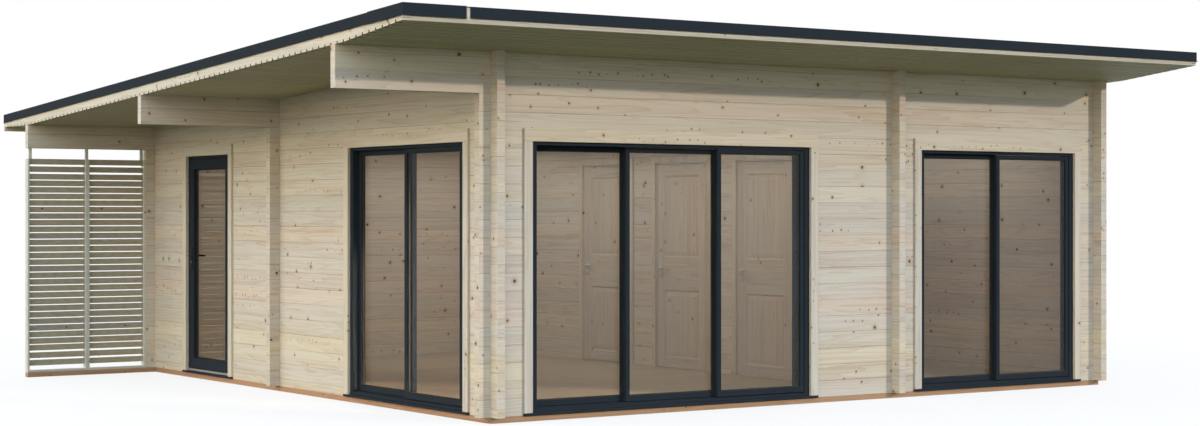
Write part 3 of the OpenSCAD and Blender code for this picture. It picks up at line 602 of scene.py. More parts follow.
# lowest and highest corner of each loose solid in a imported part
def islandBoxes(node):
    bm = mergedCopy(node)
    boxes, left = [], set(bm.verts)
    while left:
        group, queue = [], [left.pop()]
        while queue:
            vert = queue.pop()
            group.append(vert.co.copy())
            for edge in vert.link_edges:
                other = edge.other_vert(vert)
                if other in left:
                    left.remove(other)
                    queue.append(other)
        boxes.append([Vector([pick(spot[k] for spot in group) for k in range(3)]) for pick in (min, max)])
    bm.free()
    return sorted(boxes, key=lambda box: box[0][:])


# bearers, joists and the core of the roof
timber = {"chamfer": 0.002, "under": 0.05, "spacing": 0.3, "sideSeed": 7.0}
for node in ("front_bearer", "back_bearer"):
    softened(node, node + "_timber", "bearer", timber["chamfer"], lambda at: (0, 2, 1, -timber["under"]))
for node, key in (("side_bearers", "bearer"), ("floor_joists", "floor")):
    softened(node, node + "_timber", key, timber["chamfer"],
             lambda at: (1, 2, 0, -timber["under"] - lane * round(at.x / timber["spacing"])),
             timber["sideSeed"])
softened("roof_core", "roof_core_timber", "planed", timber["chamfer"], lambda at: (0, 1, 2, 0.0))


# trees that lay boards: each board is set on a point and shifts its own run of grain
def buildBoardLayer():
    g, given, out = makeGroup("boardLayer", "GeometryNodeTree", [
        ("Points", "Geometry", None), ("Board", "Geometry", None), ("Rotation", "Rotation", None),
        ("Grain Step", "Float", 0.1), ("Grain Run", "Float", 2.3),
        ("Material", "Material", None)], meshOutputs)
    laid = addNode(g, "GeometryNodeInstanceOnPoints", {
        "Points": given["Points"], "Instance": given["Board"], "Rotation": given["Rotation"]})
    counted = addNode(g, "GeometryNodeStoreNamedAttribute", {
        "Geometry": laid.outputs[0], "Name": "board",
        "Value": addNode(g, "GeometryNodeInputIndex").outputs[0]}, domain="INSTANCE")
    real = addNode(g, "GeometryNodeRealizeInstances", {"Geometry": counted.outputs[0]})
    own = addNode(g, "GeometryNodeInputNamedAttribute", {"Name": "grain"}, data_type="FLOAT_VECTOR")
    order = addNode(g, "GeometryNodeInputNamedAttribute", {"Name": "board"}).outputs[0]
    across = times(g, plus(g, order, 0.5), given["Grain Step"])
    shift = combine(g, times(g, order, given["Grain Run"]), across)
    shifted = addNode(g, "ShaderNodeVectorMath", {0: own.outputs[0], 1: shift}, operation="ADD").outputs[0]
    figured = addNode(g, "GeometryNodeStoreNamedAttribute", {
        "Geometry": real.outputs[0], "Name": "grain", "Value": shifted}, data_type="FLOAT_VECTOR")
    painted = addNode(g, "GeometryNodeSetMaterial", {
        "Geometry": figured.outputs[0], "Material": given["Material"]})
    feed(g, out["Geometry"], painted.outputs[0])
    return g


# points in a row, each lifted by its own height, with a board on each
def layRow(g, given, out, step, lift, grainStep, turn=None):
    line = addNode(g, "GeometryNodeMeshLine", {
        "Count": given["Count"], "Start Location": given["Start"], "Offset": step})
    raised = addNode(g, "GeometryNodeSetPosition", {
        "Geometry": line.outputs[0], "Offset": combine(g, z=lift)})
    laid = addNode(g, "GeometryNodeGroup", {
        "Points": raised.outputs[0], "Board": given["Board"], "Rotation": turn, "Grain Step": grainStep,
        "Material": given["Material"]}, node_tree=boardLayer)
    feed(g, out["Geometry"], laid.outputs[0])
    return g


# boards side by side along Y, on a slope and on a steeper taper before the end of each
def buildBoarding():
    g, given, out = makeGroup("boarding", "GeometryNodeTree", [
        ("Board", "Geometry", None), ("Count", "Int", 10), ("Pitch", "Float", 0.1), ("Start", "Vector", None),
        ("Slope", "Float", 0.0), ("Slope End", "Float", 0.0), ("Taper", "Float", 0.0),
        ("Taper End", "Float", 0.0), ("Material", "Material", None)], meshOutputs)
    y = split(g, addNode(g, "GeometryNodeInputPosition").outputs[0])[1]
    sloped = maths(g, "MAXIMUM", minus(g, given["Slope End"], y), 0.0)
    tapered = maths(g, "MAXIMUM", minus(g, given["Taper End"], y), 0.0)
    lift = timesPlus(g, sloped, given["Slope"], times(g, tapered, given["Taper"]))
    fall = timesPlus(g, maths(g, "GREATER_THAN", sloped, 0.0), given["Slope"],
                     times(g, maths(g, "GREATER_THAN", tapered, 0.0), given["Taper"]))
    turn = combine(g, x=times(g, maths(g, "ARCTANGENT", fall), -1.0))
    turned = addNode(g, "FunctionNodeEulerToRotation", {"Euler": turn}).outputs[0]
    return layRow(g, given, out, combine(g, y=given["Pitch"]), lift, given["Pitch"], turned)


# slats one over another, with wider gaps between the first and between the last of them
def buildSlatStack():
    g, given, out = makeGroup("slatStack", "GeometryNodeTree", [
        ("Board", "Geometry", None), ("Count", "Int", 31), ("Pitch", "Float", 0.06),
        ("Extra Gap", "Float", 0.0), ("Wide Gaps", "Float", 2.0), ("Start", "Vector", None),
        ("Material", "Material", None)], meshOutputs)
    number = addNode(g, "GeometryNodeInputIndex").outputs[0]
    last = minus(g, minus(g, given["Count"], given["Wide Gaps"]), 1.0)
    over = maths(g, "MAXIMUM", minus(g, number, last), 0.0)
    lift = times(g, plus(g, maths(g, "MINIMUM", number, given["Wide Gaps"]), over), given["Extra Gap"])
    return layRow(g, given, out, combine(g, z=given["Pitch"]), lift, lane)


def runTree(name, mesh, tree, values):
    host = bpy.data.objects.new(name + "Host", mesh)
    scene.collection.objects.link(host)
    modifier = host.modifiers.new(name, "NODES")
    modifier.node_group = tree
    for socket in tree.interface.items_tree:
        if socket.in_out == "INPUT" and socket.name in values:
            modifier[socket.identifier] = values[socket.name]
    made = bpy.data.meshes.new_from_object(host.evaluated_get(bpy.context.evaluated_depsgraph_get()))
    host.modifiers.remove(modifier)
    bpy.data.objects.remove(host)
    made.name = name
    return made


def joinMeshes(name, meshes):
    whole = bmesh.new()
    for mesh in meshes:
        whole.from_mesh(mesh)
        bpy.data.meshes.remove(mesh)
    return meshFrom(whole, name)


# closed stack of outlines, each a list of places, with a face over the first and the last
def stackOutlines(bm, outlines):
    rings = [[bm.verts.new(spot) for spot in outline] for outline in outlines]
    for one, two in zip(rings, rings[1:]):
        for k in range(len(one)):
            bm.faces.new((one[k], one[(k + 1) % len(one)], two[(k + 1) % len(one)], two[k]))
    bm.faces.new(rings[0][::-1])
    bm.faces.new(rings[-1])


# outline of a board across Y and Z: its long edges are broken at the face, with a slit to the next board
def boardOutline(width, thick, cutWide, cutDeep, slit=0.0):
    half, lip = width / 2, 0.001
    side = [(half, thick), (half, cutDeep), (half - cutWide, 0)]
    if slit:
        side[1:2] = [(half, cutDeep + lip), (half - slit, cutDeep + lip / 2), (half - slit, cutDeep)]
    return [(-y, z) for y, z in side] + side[::-1]


# board from X = 0 through (x, outline) stations; its grain runs along X
def boardThrough(stations, across=1):
    bm = bmesh.new()
    stackOutlines(bm, [[Vector((x, y, z)) for y, z in outline] for x, outline in stations])
    mesh = finishedMesh(bm, "board")
    layGrain(mesh, lambda at: (0, across, 3 - across, 0.0))
    return mesh


boardLayer = buildBoardLayer()
boarding = buildBoarding()
slatStack = buildSlatStack()

# soffit boarding under the whole roof: its joints open out at the ends, where they show under the fascia
soffit = {"pitch": soffitPitch, "thick": 0.018, "closed": (0.0060, 0.0120, 0.0022),
          "open": (0.0078, 0.0165, 0.0064), "openLong": 0.060, "opening": 0.01, "edgeFace": 0.01,
          "taperStart": 0.150, "edgeThick": 0.113}


def laySoffit():
    start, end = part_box("roof_boards")
    slopeEnd = low("back_wall").y
    taperEnd = wallFront - soffit["taperStart"]
    frontUnder = roofHigh.z - soffit["edgeThick"]
    onSlope = start.z + roof["slope"] * (slopeEnd - start.y)
    taper = (frontUnder - onSlope) / (taperEnd - start.y)
    count = round((end.y - start.y) / soffit["pitch"])
    pitch = (end.y - start.y) / count
    closed = boardOutline(pitch, soffit["thick"], *soffit["closed"])
    opened = boardOutline(pitch, soffit["thick"], *soffit["open"])
    long, notch = end.x - start.x, soffit["openLong"]
    inner = notch + soffit["opening"]
    board = boardThrough([(0, opened), (notch, opened), (inner, closed), (long - inner, closed),
                          (long - notch, opened), (long, opened)])
    mesh = runTree("soffitBoards", board, boarding, {
        "Count": count, "Pitch": pitch, "Start": (start.x, start.y + pitch / 2, start.z),
        "Slope": roof["slope"], "Slope End": slopeEnd, "Taper": taper, "Taper End": taperEnd,
        "Material": finish["soffit"]})
    facing = meshWork["facing"]
    for face in mesh.polygons:
        atEnd = min(face.center.x - start.x, end.x - face.center.x) < notch
        atFront = face.normal.y < -facing and face.center.y < start.y + soffit["edgeFace"]
        planed = abs(face.normal.x) > facing or atFront
        # index 2 puts the near-black joint finish on the cheeks of the open joints, painted shade of the deep
        # narrow slits; index 0 keeps the soffit finish, which carries painted shade of the eaves
        face.material_index = 1 if planed else 2 if atEnd and abs(face.normal.z) < facing else 0
    place("soffitBoards", mesh, ["soffit", "planed", "paintedJointShade"], "house", ["roof_boards"])


laySoffit()

# floor boards of the two rooms
flooring = {"pitch": 0.12, "thick": 0.019, "gap": 0.0004, "chamfer": 0.0012}


def layFloor():
    thick, chamfer = flooring["thick"], flooring["chamfer"]
    rooms = [(wallLeft + log["thick"], low("partition_piers").x),
             (high("partition_piers").x, high("side_bearers").x - log["thick"])]
    start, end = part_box("floor")
    count = round((end.y - start.y) / flooring["pitch"])
    pitch = (end.y - start.y) / count
    upright = [(y, thick - z) for y, z in boardOutline(pitch - flooring["gap"], thick, chamfer, chamfer)]
    meshes = [runTree("roomFloor", boardThrough([(0, upright), (x1 - x0, upright)]), boarding, {
        "Count": count, "Pitch": pitch, "Start": (x0, start.y + pitch / 2, start.z),
        "Material": finish["floor"]}) for x0, x1 in rooms]
    place("floorBoards", joinMeshes("floorBoards", meshes), ["floor"], "house", ["floor"])


layFloor()

# louvred screen beside the house: slats between upright side boards
screen = {"count": 31, "slatHeight": 0.0545, "slatDepth": 0.018, "side": 0.020, "rail": 0.021, "start": 0.042,
          "wideGap": 0.009, "wideGaps": 2.0, "topGap": 0.101, "batten": 0.030, "chamfer": 0.002, "seed": 31.0}


def buildScreen():
    start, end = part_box("privacy_screen")
    beamUnder = low("back_beam").z
    middle, slatY = (start.x + end.x) / 2, (start.y + end.y) / 2
    slatTop = beamUnder - screen["topGap"]
    first = start.z + screen["rail"] + screen["start"]
    extra = 2 * screen["wideGaps"] * screen["wideGap"]
    pitch = (slatTop - screen["slatHeight"] - first - extra) / (screen["count"] - 1)
    outline = boardOutline(screen["slatDepth"], screen["slatHeight"], screen["chamfer"], screen["chamfer"])
    boards, slats = [], []
    for x0, x1 in ((start.x, middle), (middle, end.x)):
        in0, in1 = x0 + screen["side"], x1 - screen["side"]
        boards += [((x0, start.y, start.z), (in0, end.y, slatTop), 2),
                   ((in1, start.y, start.z), (x1, end.y, slatTop), 2),
                   ((in0, start.y, start.z), (in1, end.y, start.z + screen["rail"]), 0)]
        slat = boardThrough([(0, outline), (in1 - in0, outline)], across=2)
        slats.append(runTree("slats", slat, slatStack, {
            "Count": screen["count"], "Pitch": pitch, "Extra Gap": screen["wideGap"],
            "Wide Gaps": screen["wideGaps"], "Start": (in0, slatY, first), "Material": finish["screen"]}))
    depth, wide = screen["slatDepth"] / 2, screen["batten"]
    for x in (start.x + screen["side"], middle - wide / 2, end.x - screen["side"] - wide):
        boards.append(((x, slatY - depth, slatTop), (x + wide, slatY + depth, beamUnder), 2))
    sawBoards("screenBoards", boards, "screenFrame", "house", ["privacy_screen"], seed=screen["seed"])
    place("screenSlats", joinMeshes("screenSlats", slats), ["screen"], "house")


buildScreen()
print("boards laid")

# fascia boards round the roof: every board keeps to one lane of grain
fascia = {"inset": 0.0205, "chamfer": 0.0015, "seed": 51.0, "frontOver": 2.6, "backUnder": 2.31,
          "frontStart": -0.02, "midStart": -0.01, "sideStart": -0.4}


def onFascia(at):
    if roofLow.y + fascia["inset"] <= at.y <= roofHigh.y - fascia["inset"]:
        return (1, 2, 0, fascia["sideStart"])
    if at.z > fascia["frontOver"]:
        return (0, 2, 1, fascia["frontStart"])
    return (0, 2, 1, 0.0 if at.z < fascia["backUnder"] else fascia["midStart"])


softened("roof_fascia", "fasciaBoards", "planed", fascia["chamfer"], onFascia, fascia["seed"])

# casings round the doors, two uprights and a head board each; a frame's number is the axis of its wall
casing = {"width": 0.076, "head": 0.101, "chamfer": 0.002, "seed": 5.0, "liningChamfer": 0.001,
          "frames": {"triple_frame": 0, "double_frame": 0, "side_frame": 1, "entrance_frame": 1}}


def casingBoards():
    outside = low("door_casings")
    wide = casing["width"]
    boards = []
    for node, along in casing["frames"].items():
        start, end = low(node)[along], high(node)[along]
        near, face = (outside.y, wallFront) if along == 0 else (outside.x, wallLeft)
        for a, b, z0, z1, way in ((start - wide, start, floorTop, openTop, 2),
                                  (end, end + wide, floorTop, openTop, 2),
                                  (start - wide, end + wide, openTop, openTop + casing["head"], along)):
            one, two = ((a, near, z0), (b, face, z1)) if along == 0 else ((near, a, z0), (face, b, z1))
            boards.append((one, two, way))
    sawBoards("casingBoards", boards, "planed", "house", ["door_casings"], casing["chamfer"], casing["seed"])


casingBoards()
softened("inner_door_linings", "inner_door_linings_timber", "planed", casing["liningChamfer"],
         lambda at: (2, 1, 0, 0))


# rings, slabs and tubes that the small pieces are made of
def cornersOf(rect, inwards):
    u0, v0, u1, v1 = rect[0] + inwards, rect[1] + inwards, rect[2] - inwards, rect[3] - inwards
    return ((u0, v0), (u1, v0), (u1, v1), (u0, v1))


# closed ring with mitred corners inside a rectangle; the section lists (inwards, deep)
def mitredRing(bm, rect, section, toPlace):
    rings = [[bm.verts.new(toPlace(u, v, deep)) for u, v in cornersOf(rect, inwards)]
             for inwards, deep in section]
    for one, two in zip(rings, rings[1:] + rings[:1]):
        for k in range(4):
            bm.faces.new((one[k], one[(k + 1) % 4], two[(k + 1) % 4], two[k]))


# closed slab over a rectangle; the levels list (inwards, deep)
def steppedSlab(bm, rect, levels, toPlace):
    stackOutlines(bm, [[toPlace(u, v, deep) for u, v in cornersOf(rect, inwards)]
                       for inwards, deep in levels])


def tubeAlong(bm, path, radii, sides=14):
    circle = [(math.cos(math.tau * n / sides), math.sin(math.tau * n / sides)) for n in range(sides)]
    outlines = []
    for k, (spot, size) in enumerate(zip(path, radii)):
        ahead = path[min(k + 1, len(path) - 1)] - path[max(k - 1, 0)]
        turn = ahead.to_track_quat("Z", "X")
        outlines.append([spot + turn @ Vector((size * a, size * b, 0)) for a, b in circle])
    stackOutlines(bm, outlines)


def onWall(normal, near, way=1):
    if normal == 1:
        return lambda u, v, deep: Vector((u, near + way * deep, v))
    return lambda u, v, deep: Vector((near + way * deep, u, v))


# the axis that a flat upright box faces
def facingAxis(start, end):
    return 0 if end.x - start.x < end.y - start.y else 1


# sealed units: two sheets on a spacer bar, held by gaskets
glazing = {"sheet": 0.004, "inFromFace": 0.001, "sheetEnd": 0.0005, "sheetCut": 0.0007,
           "spacerHigh": 0.009, "spacerIn": 0.0008, "spacerFold": 0.0015,
           "gasketHigh": 0.0055, "gasketProud": 0.0018, "gasketIn": 0.0004, "gasketLip": (0.7, 0.6)}


def glassOf(node):
    if node == "fixed_glass":
        return ["glass", "sideGlass"]
    return [{"entrance_glass": "softGlass", "side_glass": "sideGlass"}.get(node, "glass")]


def glazeLeaf(node):
    sheets, bars, seals = bmesh.new(), bmesh.new(), bmesh.new()
    inset, sheet, ends, cut = (glazing[key] for key in ("inFromFace", "sheet", "sheetEnd", "sheetCut"))
    tall, side, fold = (glazing[key] for key in ("spacerHigh", "spacerIn", "spacerFold"))
    lip, proud, sealIn = (glazing[key] for key in ("gasketHigh", "gasketProud", "gasketIn"))
    lipIn, lipOut = glazing["gasketLip"]
    for start, end in islandBoxes(node):
        normal = facingAxis(start, end)
        across, deep = 1 - normal, end[normal] - start[normal]
        rect = (start[across], start.z, end[across], end.z)
        toPlace = onWall(normal, start[normal])
        for near in (inset, deep - inset - sheet):
            steppedSlab(sheets, rect, [(ends + cut, near), (ends, near + cut), (ends, near + sheet - cut),
                                       (ends + cut, near + sheet)], toPlace)
        one, two = inset + sheet, deep - inset - sheet
        mitredRing(bars, rect, [(side, one), (tall, one), (tall + side, one + fold),
                                (tall + side, two - fold), (tall, two), (side, two)], toPlace)
        for face, way in ((0, -1), (deep, 1)):
            mitredRing(seals, rect, [
                (sealIn, face - way * inset), (lip, face - way * inset),
                (lip * lipIn, face + way * proud * lipOut), (sealIn, face + way * proud)], toPlace)
    body, finishes = bodyOf[node], glassOf(node)
    mesh = finishedMesh(sheets, node + "_sheets")
    if len(finishes) > 1:
        for face in mesh.polygons:
            face.material_index = int(face.center.x < wallLeft + log["thick"] * 2)
    place(node + "_sheets", mesh, finishes, body, [node])
    place(node + "_spacer", finishedMesh(bars, node + "_spacer"), ["spacer"], body)
    place(node + "_gaskets", finishedMesh(seals, node + "_gaskets"), ["rubber"], body)


for node, slot in parts.items():
    if slot == "window_glass":
        glazeLeaf(node)
print("panes set")

# leaves of the sliding doors: aluminium, with timber on the room side
leaf = {"chamfer": 0.0012, "rail": 0.045, "laneShift": 0.07, "seed": 12.0, "reach": 0.002,
        "sillChamfer": 0.003}


def dressLeaf(node):
    boxes = islandBoxes(node)
    reach, rail, shift = leaf["reach"], leaf["rail"], leaf["laneShift"]
    bm = mergedCopy(node)
    breakEdges(bm, leaf["chamfer"])

    def boxOf(at):
        return next((start, end) for start, end in boxes
                    if all(start[k] - reach < at[k] < end[k] + reach for k in range(3)))

    def timberLay(at):
        start, end = boxOf(at)
        normal = facingAxis(start, end)
        if at.z < start.z + rail or at.z > end.z - rail:
            return (1 - normal, 2, normal, start.z - shift)
        return (2, 1 - normal, normal, start[1 - normal] - shift)

    for face in bm.faces:
        normal = facingAxis(*boxOf(face.calc_center_median()))
        face.material_index = int(face.normal[normal] > meshWork["facing"])
    mesh = meshFrom(bm, node + "_leaf")
    layGrain(mesh, timberLay, leaf["seed"])
    place(node + "_leaf", mesh, ["anthracite", "inside"], bodyOf[node], [node])


for node in ("fixed_leaves", "triple_middle_leaf", "triple_right_leaf", "double_leaf", "side_leaf"):
    dressLeaf(node)
for node in ("edge_trim", "corner_trim", "triple_frame", "double_frame", "side_frame", "entrance_frame",
             "entrance_door"):
    softened(node, node + "_metal", "anthracite", leaf["chamfer"])
softened("door_sills", "door_sills_metal", "anthracite", leaf["sillChamfer"])
print("leaves and frames dressed")

# panelled inner doors: stiles, rails, a moulding round each panel and a raised field in it; both sections
# list (inwards from the panel's edge, deep in the door's face)
innerDoor = {"width": 0.800, "thick": 0.040, "stile": 0.118, "panels": ((0.170, 0.830), (1.150, 1.945)),
             "moulding": ((0.0003, 0.009), (0.014, 0.009), (0.0105, 0.00495), (0.0063, 0.00405),
                          (0.0028, 0.0015), (0.0003, 0.0008)),
             "field": ((0.017, 0.009), (0.018, 0.0075), (0.054, 0.0035), (0.055, 0.003)),
             "chamfer": 0.0015, "top": 3.0, "laneShift": 0.03, "seed": 4.0, "seedStep": 9.0,
             "leverHeight": 1.045, "leverIn": 0.058}


def dressInnerDoor(node, seed):
    end = high(node)
    y0, y1 = end.y - innerDoor["width"] + innerDoor["stile"], end.y - innerDoor["stile"]
    stops = [z for panel in innerDoor["panels"] for z in panel]
    bm = mergedCopy(node)
    breakEdges(bm, innerDoor["chamfer"])
    for axis, value in [(1, y0), (1, y1)] + [(2, z) for z in stops]:
        at, way = Vector(), Vector()
        at[axis], way[axis] = value, 1.0
        bmesh.ops.bisect_plane(bm, geom=bm.verts[:] + bm.edges[:] + bm.faces[:], plane_co=at, plane_no=way)
    for near, way in ((end.x - innerDoor["thick"], 1), (end.x, -1)):
        toPlace = onWall(0, near, way)
        for z0, z1 in innerDoor["panels"]:
            mitredRing(bm, (y0, z0, y1, z1), innerDoor["moulding"], toPlace)
            steppedSlab(bm, (y0, z0, y1, z1), innerDoor["field"], toPlace)
    mesh = finishedMesh(bm, node + "_panels")
    rails = list(zip([0] + stops[1::2], stops[::2] + [innerDoor["top"]]))
    shift = innerDoor["laneShift"]

    def doorLay(at):
        between = y0 < at.y < y1
        if between and any(under < at.z < over for under, over in rails):
            return (1, 2, 0, shift)
        return (2, 1, 0, y0 - lane if between else y1 + shift)

    layGrain(mesh, doorLay, seed)
    place(node + "_panels", mesh, ["door"], bodyOf[node], [node])


# u runs from a handle towards the hinges, v up, and deep out of the door's face
def besideDoor(face, way, y, z):
    return lambda u, v, deep: Vector((face + way * deep, y - u, z + v))


def stub(bm, toPlace, v, depths, radii, sides):
    tubeAlong(bm, [toPlace(0, v, deep) for deep in depths], radii, sides)


# straight out of the door, round a bend, and on beside it through (u, deep) ends
def bentPath(toPlace, v, start, out, bend, turns, ends):
    path = [toPlace(0, v, start), toPlace(0, v, out - bend)]
    path += [toPlace(bend * (1 - math.cos(turn)), v, out - bend + bend * math.sin(turn)) for turn in turns]
    return path + [toPlace(u, v, deep) for u, deep in ends]


# lever on a round rose, with a keyhole rose under it
lever = {"roseDepths": (0, 0.006, 0.0085), "roseRadii": (0.026, 0.026, 0.0225), "start": 0.008, "out": 0.044,
         "bend": 0.014, "turns": (0.4, 0.8, 1.2, 1.57), "radius": 0.0085, "tipRadius": 0.006,
         "tipLong": 0.008, "tipIn": 0.001, "reach": 0.115, "keyDrop": 0.075, "keyRise": 0.004,
         "keyRadius": 0.0042, "keyDeep": (0.0080, 0.0090, 0.0089),
         "slotHalf": 0.0016, "slotDown": 0.012, "slotUp": 0.003}


def addLevers(node):
    end = high(node)
    metal, slots = bmesh.new(), bmesh.new()
    drop, half, reach, out = lever["keyDrop"], lever["slotHalf"], lever["reach"], lever["out"]
    near, hole, slit = lever["keyDeep"]
    for face, way in ((end.x - innerDoor["thick"], -1), (end.x, 1)):
        toPlace = besideDoor(face, way, end.y - innerDoor["leverIn"], innerDoor["leverHeight"])
        for v in (0, -drop):
            stub(metal, toPlace, v, lever["roseDepths"], lever["roseRadii"], 20)
        path = bentPath(toPlace, 0, lever["start"], out, lever["bend"], lever["turns"],
                        ((reach - lever["tipLong"], out), (reach, out - lever["tipIn"])))
        tubeAlong(metal, path, [lever["radius"]] * (len(path) - 1) + [lever["tipRadius"]])
        stub(slots, toPlace, lever["keyRise"] - drop, (near, hole), [lever["keyRadius"]] * 2, 12)
        steppedSlab(slots, (-half, -drop - lever["slotDown"], half, -drop + lever["slotUp"]),
                    [(0, near), (0, slit)], toPlace)
    place(node + "_lever", finishedMesh(metal, node + "_lever", True), ["nickel"], bodyOf[node])
    place(node + "_keyhole", finishedMesh(slots, node + "_keyhole"), ["rubber"], bodyOf[node])


for number, node in enumerate(("inner_door_front", "inner_door_middle", "inner_door_back")):
    dressInnerDoor(node, innerDoor["seed"] + innerDoor["seedStep"] * number)
    addLevers(node)
print("inner doors hung")

# handle of the entrance door: a lever and a lock cylinder on a long rounded plate
entrance = {"plateHalf": 0.016, "plateDeep": 0.008, "plateCut": 0.0025, "plateEase": 0.0008,
            "leverHeight": 1.170, "leverRadius": 0.009, "bend": 0.016, "turns": (0.3, 0.6, 0.9, 1.25, 1.57),
            "sunk": 0.001, "root": 1.15, "tip": 0.7, "tipLong": 0.004,
            "collarDepths": (-0.0005, 0.003, 0.004), "collarRadii": (0.0135, 0.0135, 0.0115),
            "cylinderDrop": 0.060, "cylinderRadius": 0.0085, "cylinderDepths": (-0.0005, 0.0012)}


def rounded(halfWide, halfHigh, steps=8):
    spots = []
    for centre, first in ((halfHigh - halfWide, 0.0), (halfWide - halfHigh, math.pi)):
        for k in range(steps + 1):
            turn = first + math.pi * k / steps
            spots.append((halfWide * math.cos(turn), centre + halfWide * math.sin(turn)))
    return spots


def addEntranceHandle():
    black, steel = bmesh.new(), bmesh.new()
    half, deep, r = entrance["plateHalf"], entrance["plateDeep"], entrance["leverRadius"]
    cut, ease = entrance["plateCut"], entrance["plateEase"]
    for start, end in islandBoxes("entrance_handle"):
        outside = start.x < low("entrance_glass").x
        face, way = (end.x, -1) if outside else (start.x, 1)
        z, long = (start.z + end.z) / 2, (end.z - start.z) / 2
        toPlace = besideDoor(face, way, end.y - half, z)
        stackOutlines(black, [[toPlace(u, v, w) for u, v in rounded(half - back, long - back)]
                              for w, back in ((0, 0), (deep - cut, 0), (deep - ease, ease), (deep, cut))])
        lift, out, reach = entrance["leverHeight"] - z, end.x - start.x - r, end.y - start.y - half
        path = bentPath(toPlace, lift, deep - entrance["sunk"], out, entrance["bend"], entrance["turns"],
                        ((reach - entrance["tipLong"], out), (reach, out)))
        tubeAlong(black, path, [r * entrance["root"]] + [r] * (len(path) - 2) + [r * entrance["tip"]], 16)
        stub(black, toPlace, lift, [deep + w for w in entrance["collarDepths"]], entrance["collarRadii"], 18)
        stub(steel, toPlace, lift - entrance["cylinderDrop"], [deep + w for w in entrance["cylinderDepths"]],
             [entrance["cylinderRadius"]] * 2, 18)
    body = bodyOf["entrance_handle"]
    place("entrance_handle_lever", finishedMesh(black, "entrance_handle_lever", True), ["black"], body,
          ["entrance_handle"])
    place("entrance_lock_cylinder", finishedMesh(steel, "entrance_lock_cylinder", True), ["steel"], body)


# ribbed aluminium bar under the entrance door; its section lists (outwards, share of the height)
threshold = {"bottom": 0.067, "top": 0.088, "endGap": 0.006, "behind": 0.0105,
             "section": ((0, 0), (0.007, 0), (0.007, 0.3), (0.0055, 0.36), (0.0055, 0.50), (0.007, 0.56),
                         (0.0062, 0.8), (0.003, 1), (0, 1))}


def addThreshold():
    y0, y1 = low("entrance_frame").y + threshold["endGap"], high("entrance_frame").y - threshold["endGap"]
    face, z0 = wallLeft + threshold["behind"], threshold["bottom"]
    rise = threshold["top"] - z0
    bm = bmesh.new()
    stackOutlines(bm, [[Vector((face - out, y, z0 + rise * share)) for out, share in threshold["section"]]
                       for y in (y0, y1)])
    place("entrance_threshold", finishedMesh(bm, "entrance_threshold"), ["aluminium"], "house")


addEntranceHandle()
addThreshold()

# drip edge that the trims turn out at the bottom, with a gap beside the corner trim
drip = {"out": 0.0105, "down": 0.004, "thick": 0.0022, "cornerLength": 0.500, "cornerGap": 0.030}


def topAt(y):
    return roofHigh.z - roof["slope"] * (y - roofLow.y)


def addDripEdge():
    bm = bmesh.new()
    out, down, thick, thin = drip["out"], drip["down"], drip["thick"], roof["trimThick"]
    bottom = roof["trimHeight"] - thin
    section = [(0.0, 0.0), (out, down), (out, down + thick), (0.0, thick)]
    x0, x1, y0, y1 = roofLow.x - thin, roofHigh.x + thin, roofLow.y - thin, roofHigh.y + thin
    frontJoint, sideJoint = roofLow.x + drip["cornerLength"], roofLow.y + drip["cornerLength"]
    # the corner trim lies over the others, so its two runs are further out and lower
    runs = [((x0 - thin, y0 - thin), (frontJoint, y0 - thin), (0, -1), bottom + thin),
            ((frontJoint + drip["cornerGap"], y0), (x1, y0), (0, -1), bottom),
            ((x1, y0), (x1, y1), (1, 0), bottom),
            ((x1, y1), (x0, y1), (0, 1), bottom),
            ((x0, y1), (x0, sideJoint), (-1, 0), bottom),
            ((x0 - thin, sideJoint), (x0 - thin, y0 - thin), (-1, 0), bottom + thin)]
    for first, last, (ox, oy), depth in runs:
        stackOutlines(bm, [[Vector((x + ox * o, y + oy * o, topAt(y) - depth + thick - d))
                            for o, d in section] for x, y in (first, last)])
    place("drip_edge", finishedMesh(bm, "drip_edge"), ["anthracite"], "house")


addDripEdge()


# a row of equal pieces, for screws and the laps of the roof sheet
def buildRow():
    g, given, out = makeGroup("evenRow", "GeometryNodeTree", [
        ("Piece", "Geometry", None), ("Count", "Int", 10), ("Start", "Vector", None),
        ("Step", "Vector", None), ("Turn Seed", "Int", 3), ("Turn", "Float", 0.0),
        ("Material", "Material", None)], meshOutputs)
    line = addNode(g, "GeometryNodeMeshLine", {
        "Count": given["Count"], "Start Location": given["Start"], "Offset": given["Step"]})
    spin = addNode(g, "FunctionNodeRandomValue", {2: 0.0, 3: given["Turn"], "Seed": given["Turn Seed"]})
    turn = addNode(g, "FunctionNodeEulerToRotation", {"Euler": combine(g, z=spin.outputs[1])})
    laid = addNode(g, "GeometryNodeInstanceOnPoints", {
        "Points": line.outputs[0], "Instance": given["Piece"], "Rotation": turn.outputs[0]})
    real = addNode(g, "GeometryNodeRealizeInstances", {"Geometry": laid.outputs[0]})
    painted = addNode(g, "GeometryNodeSetMaterial", {
        "Geometry": real.outputs[0], "Material": given["Material"]})
    feed(g, out["Geometry"], painted.outputs[0])
    return g


evenRow = buildRow()
# the seam's section lists (past the lap, above the sheet under it)
sheeting = {"pitch": 0.955, "lap": 0.100, "thick": 0.0022, "lapEase": 0.002,
            "seam": ((-0.004, 0.0011), (0.014, 0.0011), (0.014, 0.0027), (0.007, 0.0032), (0, 0.0040),
                     (-0.004, 0.0032))}
screws = {"pitch": 0.40, "radius": 0.0045, "heights": (-0.0005, 0.0012, 0.0024, 0.0028),
          "radii": (1.0, 1.0, 0.72, 0.3), "sides": 10}


